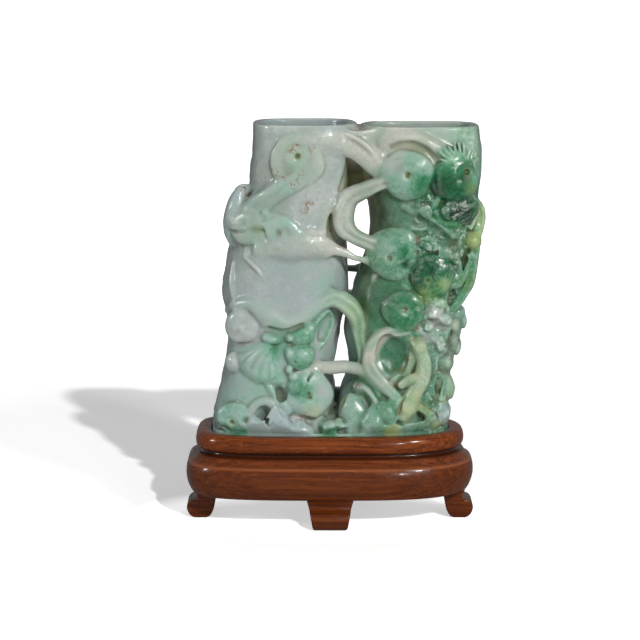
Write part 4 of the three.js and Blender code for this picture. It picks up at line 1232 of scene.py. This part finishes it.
stand = {
    "halfLength": 55.6,
    "halfDepth": 24.4,
    "squarenessLeft": 3.9,
    "squarenessRight": 2.6,
    "seatSquarenessLeft": 3.4,
    "seatSquarenessRight": 2.7,
    "sides": 160,
    # moulding: margin round the seat and height, both in mm, from underneath up into the recess
    "moulding": [
        (-4.2, 19), (-4.2, 14.6), (-3.6, 14), (2, 14), (8, 14), (8.8, 14.15), (9.3, 14.7), (10.1, 16),
        (10.9, 17.8), (11.5, 19.6), (11.9, 21.6), (12, 23.2), (11.95, 24.8), (11.7, 26.4), (11.3, 27.9),
        (10.95, 28.8), (10.7, 29.2), (10.2, 29.45), (9.4, 29.9), (8.6, 30.6), (7.9, 31.5), (7.4, 32.4),
        (7, 32.9), (6.4, 33.1), (5.6, 33.1), (4.7, 33.3), (4.2, 33.9), (4.15, 34.7), (4.5, 35.2),
        (5.2, 35.4), (6.1, 35.4), (6.75, 35.9), (7.2, 36.9), (7.4, 38.3), (7.35, 39.6), (7.1, 40.9),
        (6.5, 42.1), (5.6, 42.8), (4.4, 43.15), (3.2, 43.2), (1.4, 43), (0.6, 42.8), (0.3, 42.4),
        (0.3, 39),
    ],
    "footOuter": [
        (-6.4, 17), (-3.8, 14), (-4.6, 12.8), (-5.1, 11.4), (-5.1, 10.2), (-4.5, 9.3), (-3.4, 8.9), (-2, 8.5),
        (-0.9, 7.7), (-0.2, 6.5), (0, 5), (-0.35, 3.2), (-1.2, 1.6), (-2.4, 0.5), (-3.8, 0), (-9.2, 0),
        (-10.6, 0.6), (-11.7, 2), (-12.6, 4), (-13.2, 6.4), (-13.6, 9), (-13.8, 17),
    ],
    "edgeHeight": 28.9,
    "grooveHeight": 34,
    "footTop": 22,
    "footBottom": 16,
    "footBevel": 0.9,
}
millimetre = (standHigh.z - standLow.z) / 43.2


# Lays a flat grid of (turn, margin, height) round a plan with rounded corners
def mouldingTree():
    tree = bpy.data.node_groups.new("standMoulding", "GeometryNodeTree")
    tree.interface.new_socket("Geometry", in_out="INPUT", socket_type="NodeSocketGeometry")
    for label, value in (("Half length", 0.05), ("Half depth", 0.02), ("Squareness left", 3.0),
                         ("Squareness right", 3.0), ("Centre", 0.0)):
        tree.interface.new_socket(label, in_out="INPUT", socket_type="NodeSocketFloat").default_value = value
    tree.interface.new_socket("Material", in_out="INPUT", socket_type="NodeSocketMaterial")
    tree.interface.new_socket("Geometry", in_out="OUTPUT", socket_type="NodeSocketGeometry")
    given, result = tree.nodes.new("NodeGroupInput"), tree.nodes.new("NodeGroupOutput")
    spot = node(tree, "GeometryNodeInputPosition").outputs[0]
    flat = node(tree, "ShaderNodeSeparateXYZ", {0: spot}).outputs
    cosine, sine = maths(tree, "COSINE", flat[0]), maths(tree, "SINE", flat[0])
    toLeft = maths(tree, "MULTIPLY_ADD", cosine, -0.5, 0.5)
    left, right = given.outputs["Squareness left"], given.outputs["Squareness right"]
    further = maths(tree, "MULTIPLY", maths(tree, "SUBTRACT", left, right), toLeft)
    power = maths(tree, "DIVIDE", 2.0, maths(tree, "ADD", right, further))
    sides = []
    for wave, half in ((cosine, given.outputs["Half length"]), (sine, given.outputs["Half depth"])):
        shape = maths(tree, "POWER", maths(tree, "ABSOLUTE", wave), power)
        shape = maths(tree, "MULTIPLY", shape, maths(tree, "SIGN", wave))
        sides.append(maths(tree, "MULTIPLY", shape, maths(tree, "ADD", half, flat[1])))
    across = maths(tree, "ADD", sides[0], given.outputs["Centre"])
    joined = node(tree, "ShaderNodeCombineXYZ", {0: across, 1: sides[1], 2: flat[2]}).outputs[0]
    moved = node(tree, "GeometryNodeSetPosition", {"Geometry": given.outputs["Geometry"], "Position": joined})
    welded = node(tree, "GeometryNodeMergeByDistance", {"Geometry": moved.outputs[0], "Distance": 0.00001})
    real = node(tree, "GeometryNodeRealizeInstances", {0: welded.outputs[0]})
    finished = node(tree, "GeometryNodeSetMaterial", {"Geometry": real.outputs[0],
                                                      "Material": given.outputs["Material"]})
    tree.links.new(finished.outputs[0], result.inputs[0])
    return tree


# Runs a tree on a piece with its named inputs, and gives the plain mesh
def throughNodes(piece, tree, values):
    modifier = piece.modifiers.new(tree.name, "NODES")
    modifier.node_group = tree
    for item in tree.interface.items_tree:
        if item.item_type == "SOCKET" and item.in_out == "INPUT" and item.name in values:
            modifier[item.identifier] = values[item.name]
    mesh = evaluated(piece)
    piece.modifiers.remove(modifier)
    return mesh


# Flat grid of turn, margin and height
def mouldingGrid(rows):
    sides = stand["sides"]
    vertices, faces = [], []
    for margin, height in rows:
        for side in range(sides):
            vertices.append((2 * math.pi * side / sides, margin * millimetre, height * millimetre))
    for row in range(len(rows) - 1):
        for side in range(sides):
            a, b = row * sides + side, row * sides + (side + 1) % sides
            faces.append((a, b, b + sides, a + sides))
    return vertices, faces


def woodMaterial():
    material, tree, shader = newMaterial("polishedHardwood")
    place = node(tree, "ShaderNodeTexCoord").outputs["Object"]
    drift = node(tree, "ShaderNodeTexNoise", {"Vector": place, "Scale": 12.0, "Detail": 2.0}).outputs["Color"]
    moved = node(tree, "ShaderNodeVectorMath", {0: drift, 1: (0.003, 0.003, 0.003), 2: place},
                 operation="MULTIPLY_ADD").outputs[0]
    fibre = grainNoise(tree, moved, (14.0, 620.0, 620.0), 6.0, 0.65)
    broad = grainNoise(tree, moved, (5.0, 120.0, 120.0), 3.0)
    colour = ramp(tree, fibre, [
        (0.28, linear(54, 22, 5)),
        (0.45, linear(92, 40, 10)),
        (0.6, linear(118, 56, 17)),
        (0.78, linear(146, 78, 30)),
    ])
    colour = blended(tree, ramp(tree, broad, [(0.4, 0.0), (0.75, 0.5)]), colour, linear(78, 32, 8))
    pores = grainNoise(tree, moved, (170.0, 2200.0, 2200.0), 2.0)
    poreMask = ramp(tree, pores, [(0.62, 0.0), (0.7, 0.8)])
    colour = blended(tree, poreMask, colour, linear(34, 12, 7))
    flecks = grainNoise(tree, moved, (160.0, 1500.0, 1500.0), 2.0, shift=(3.0, 5.0, 7.0))
    colour = blended(tree, ramp(tree, flecks, [(0.6, 0.0), (0.74, 0.5)]), colour, linear(152, 80, 32))
    height = node(tree, "ShaderNodeSeparateXYZ", {0: place}).outputs[2]
    # painted shade, darker towards the feet, and a painted highlight on the raised edge round the body
    lowerShade = ramp(tree, maths(tree, "MULTIPLY", height, 20.0), [(0.5, 0.5), (0.68, 0.0)])
    colour = blended(tree, lowerShade, colour, linear(58, 24, 6))
    # painted highlight: a paler line along the raised edge
    fromEdge = maths(tree, "ABSOLUTE", maths(tree, "SUBTRACT", height, stand["edgeHeight"] * millimetre))
    edgeHighlight = ramp(tree, maths(tree, "MULTIPLY", fromEdge, 1000.0), [(0.15, 0.34), (0.95, 0.0)])
    colour = blended(tree, edgeHighlight, colour, linear(164, 98, 62))
    # painted shade darkens the groove under the lip
    fromGroove = maths(tree, "ABSOLUTE", maths(tree, "SUBTRACT", height, stand["grooveHeight"] * millimetre))
    grooveShade = ramp(tree, maths(tree, "MULTIPLY", fromGroove, 400.0), [(0.24, 0.85), (0.9, 0.0)])
    colour = blended(tree, grooveShade, colour, linear(44, 18, 8))
    look = {"Vector": place, "Smooth": 0.18, "Worn": 0.34}
    polish = node(tree, "ShaderNodeGroup", look, node_tree=polishGroup).outputs
    relief = maths(tree, "MULTIPLY_ADD", poreMask, -0.6, polish["Height"])
    bump = node(tree, "ShaderNodeBump", {"Strength": 0.12, "Distance": 0.0002, "Height": relief})
    dress(tree, shader, {
        "Base Color": colour,
        "Roughness": polish["Roughness"],
        "Normal": bump.outputs[0],
        "Specular IOR Level": 0.35,
        "Coat Weight": 0.45,
        "Coat Roughness": 0.1,
    })
    return material


# Scroll foot: its side view widened from the sole to the stand, edges rounded
def footMesh(quarter):
    outline = stand["footOuter"]
    count = len(outline)
    vertices = []
    for end in (-1, 1):
        for out, up in outline:
            part = min(max(up / 14, 0), 1)
            width = stand["footBottom"] + (stand["footTop"] - stand["footBottom"]) * part**1.4
            vertices.append((out, end * width / 2, up))
    faces = [tuple(range(count)), tuple(reversed(range(count, 2 * count)))]
    for index in range(count):
        after = (index + 1) % count
        faces.append((after, index, index + count, after + count))
    reach = (stand["halfLength"], stand["halfDepth"])[quarter % 2] + 12
    turn = Matrix.Rotation(quarter * math.pi / 2, 4, "Z")
    mesh = bpy.data.meshes.new("scrollFoot")
    mesh.from_pydata(vertices, [], faces)
    mesh.transform(Matrix.Scale(millimetre, 4) @ turn @ Matrix.Translation((reach, 0, 0)))
    mesh.transform(Matrix.Translation((carvingOrigin[0], 0, 0)))
    piece = linked("scrollFoot", mesh)
    bevel = piece.modifiers.new("softEdges", "BEVEL")
    bevel.width = stand["footBevel"] * millimetre
    bevel.segments = 3
    bevel.limit_method = "ANGLE"
    bevel.angle_limit = math.radians(50)
    made = evaluated(piece)
    bpy.data.objects.remove(piece)
    return made


wood = woodMaterial()
sweep = mouldingTree()
mould = stand["moulding"]
parts = []
layers = [
    (mould[:-2], stand["squarenessLeft"], stand["squarenessRight"]),
    (mould[-3:], stand["seatSquarenessLeft"], stand["seatSquarenessRight"]),
]
for rows, left, right in layers:
    vertices, faces = mouldingGrid(rows)
    flatMesh = bpy.data.meshes.new("mouldingGrid")
    flatMesh.from_pydata(vertices, [], faces)
    piece = linked("mouldingGrid", flatMesh)
    parts.append(throughNodes(piece, sweep, {
        "Half length": stand["halfLength"] * millimetre,
        "Half depth": stand["halfDepth"] * millimetre,
        "Squareness left": left,
        "Squareness right": right,
        "Centre": float(carvingOrigin[0]),
        "Material": wood,
    }))
    bpy.data.objects.remove(piece)

woodMesh = bpy.data.meshes.new("hardwoodStand")
build = bmesh.new()
sides = stand["sides"]
build.from_mesh(parts[0])
outer = list(build.verts)
build.from_mesh(parts[1])
inner = list(build.verts)[len(outer):]
build.verts.ensure_lookup_table()
# the flat between the lip's plan and the seat's plan, the seat and the hollow underneath
lipRing = outer[-sides:]
seatRing = inner[sides : 2 * sides]
for face in [f for f in build.faces if all(v in set(inner[: 2 * sides]) for v in f.verts)]:
    build.faces.remove(face)
for vertex in inner[:sides]:
    build.verts.remove(vertex)
for side in range(sides):
    after = (side + 1) % sides
    build.faces.new((lipRing[side], lipRing[after], seatRing[after], seatRing[side]))
build.faces.new(inner[2 * sides : 3 * sides])
build.faces.new(list(reversed(outer[:sides])))
bmesh.ops.recalc_face_normals(build, faces=build.faces)
for quarter in range(4):
    foot = footMesh(quarter)
    before = len(build.faces)
    build.from_mesh(foot)
    build.faces.ensure_lookup_table()
    bmesh.ops.recalc_face_normals(build, faces=build.faces[before:])
for face in build.faces:
    face.smooth = True
build.to_mesh(woodMesh)
build.free()
woodMesh.materials.clear()
woodMesh.materials.append(wood)
for polygon in woodMesh.polygons:
    polygon.material_index = 0
woodPiece = linked("hardwoodStand", woodMesh)
woodMesh.set_sharp_from_angle(angle=math.radians(40))
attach(woodPiece, "root")
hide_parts("wood_stand")
print("stand finished", len(woodMesh.polygons), "faces")


# Floor and light

studio = {
    "floorSize": 60,
    "floorShade": 0.85,
    "floorSeen": 1.2,
    "floorReflected": 0.18,
    "nearGlow": 0.12,
    "farGlow": 0.75,
    "underGlow": 0.41,
    "underGlowHalf": (0.075, 0.045),
    "worldGlow": 0.17,
    "key": {"place": (0.85, -1.15, 0.8), "size": 0.14, "power": 7},
    "fill": {"place": (-1.1, -0.45, 0.5), "size": 0.15, "power": 1.9},
    "top": {"place": (0.1, 0.35, 1.1), "size": 0.5, "power": 2},
    "glint": {"place": (0.5, -1.3, 0.42), "size": 0.07, "power": 1.2},
    "low": {"place": (-0.4, -1.2, 0.1), "size": 0.5, "power": 3.1},
    "sun": {"from": (0.4, -1.0, 0.62), "spread": 1.6, "strength": 2.1},
}

floorHalf = studio["floorSize"] / 2
corners = [(floorHalf * x, floorHalf * y, 0) for x, y in ((-1, -1), (1, -1), (1, 1), (-1, 1))]
floorMesh = bpy.data.meshes.new("paleFloor")
floorMesh.from_pydata(corners, [], [(0, 1, 2, 3)])
floorPiece = linked("paleFloor", floorMesh)
floorMaterial, floorTree, floorShader = newMaterial("paleFloor")
paths = node(floorTree, "ShaderNodeLightPath").outputs
shades = [(*[studio[name]] * 3, 1) for name in ("floorShade", "floorReflected", "floorSeen")]
floorColour = blended(floorTree, paths["Is Glossy Ray"], shades[0], shades[1])
floorColour = blended(floorTree, paths["Is Camera Ray"], floorColour, shades[2])
# the far floor glows, where the lamps don't reach it, and so does the floor under the stand
place = node(floorTree, "ShaderNodeTexCoord").outputs["Object"]
far = node(floorTree, "ShaderNodeVectorMath", {0: place}, operation="LENGTH").outputs["Value"]
distant = node(floorTree, "ShaderNodeMapRange", {
    "Value": far, "From Min": 0.3, "From Max": 0.9,
    "To Min": studio["nearGlow"], "To Max": studio["farGlow"],
}).outputs[0]
spots = node(floorTree, "ShaderNodeSeparateXYZ", {0: place}).outputs
wide = maths(floorTree, "MULTIPLY", spots[0], 1 / studio["underGlowHalf"][0])
deep = maths(floorTree, "MULTIPLY", spots[1], 1 / studio["underGlowHalf"][1])
wide, deep = (maths(floorTree, "MULTIPLY", part, part) for part in (wide, deep))
under = node(floorTree, "ShaderNodeMapRange", {
    "Value": maths(floorTree, "ADD", wide, deep), "From Min": 1.0, "From Max": 1.8,
    "To Min": studio["underGlow"], "To Max": 0.0,
}).outputs[0]
glow = maths(floorTree, "MULTIPLY", paths["Is Camera Ray"], maths(floorTree, "ADD", distant, under))
dress(floorTree, floorShader, {
    "Base Color": floorColour,
    "Roughness": 0.8,
    "Specular IOR Level": 0.1,
    "Emission Color": (1, 1, 1, 1),
    "Emission Strength": glow,
})
floorMesh.materials.append(floorMaterial)
floorPiece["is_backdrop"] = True

worldLight = bpy.data.worlds.new("studioAir")
worldLight.use_nodes = True
background = worldLight.node_tree.nodes["Background"]
background.inputs["Color"].default_value = (1, 1, 1, 1)
background.inputs["Strength"].default_value = studio["worldGlow"]
bpy.context.scene.world = worldLight

target = Vector((0, 0, 0.1))
for name in ("key", "fill", "top", "glint", "low"):
    lampData = bpy.data.lights.new(name + "Light", "AREA")
    lampData.shape = "SQUARE"
    lampData.size = studio[name]["size"]
    lampData.energy = studio[name]["power"]
    lamp = bpy.data.objects.new(name + "Light", lampData)
    lamp.location = studio[name]["place"]
    lamp.rotation_euler = (target - lamp.location).to_track_quat("-Z", "Y").to_euler()
    lamp.visible_glossy = name != "low"  # that one only lifts the shade, without a highlight
    bpy.context.scene.collection.objects.link(lamp)

sunData = bpy.data.lights.new("sunLight", "SUN")
sunData.energy = studio["sun"]["strength"]
sunData.angle = math.radians(studio["sun"]["spread"])
sun = bpy.data.objects.new("sunLight", sunData)
sun.rotation_euler = (-Vector(studio["sun"]["from"])).to_track_quat("-Z", "Y").to_euler()
sun.visible_glossy = False  # the small lamps alone make the highlights
bpy.context.scene.collection.objects.link(sun)

bpy.context.scene.view_settings.view_transform = "Standard"
print("studio set")


def plainBounds(bounds):
    return [list(corner) if hasattr(corner, "__len__") else corner for corner in bounds]


{"frame": plainBounds(cadBounds), "scene": plainBounds(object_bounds())}
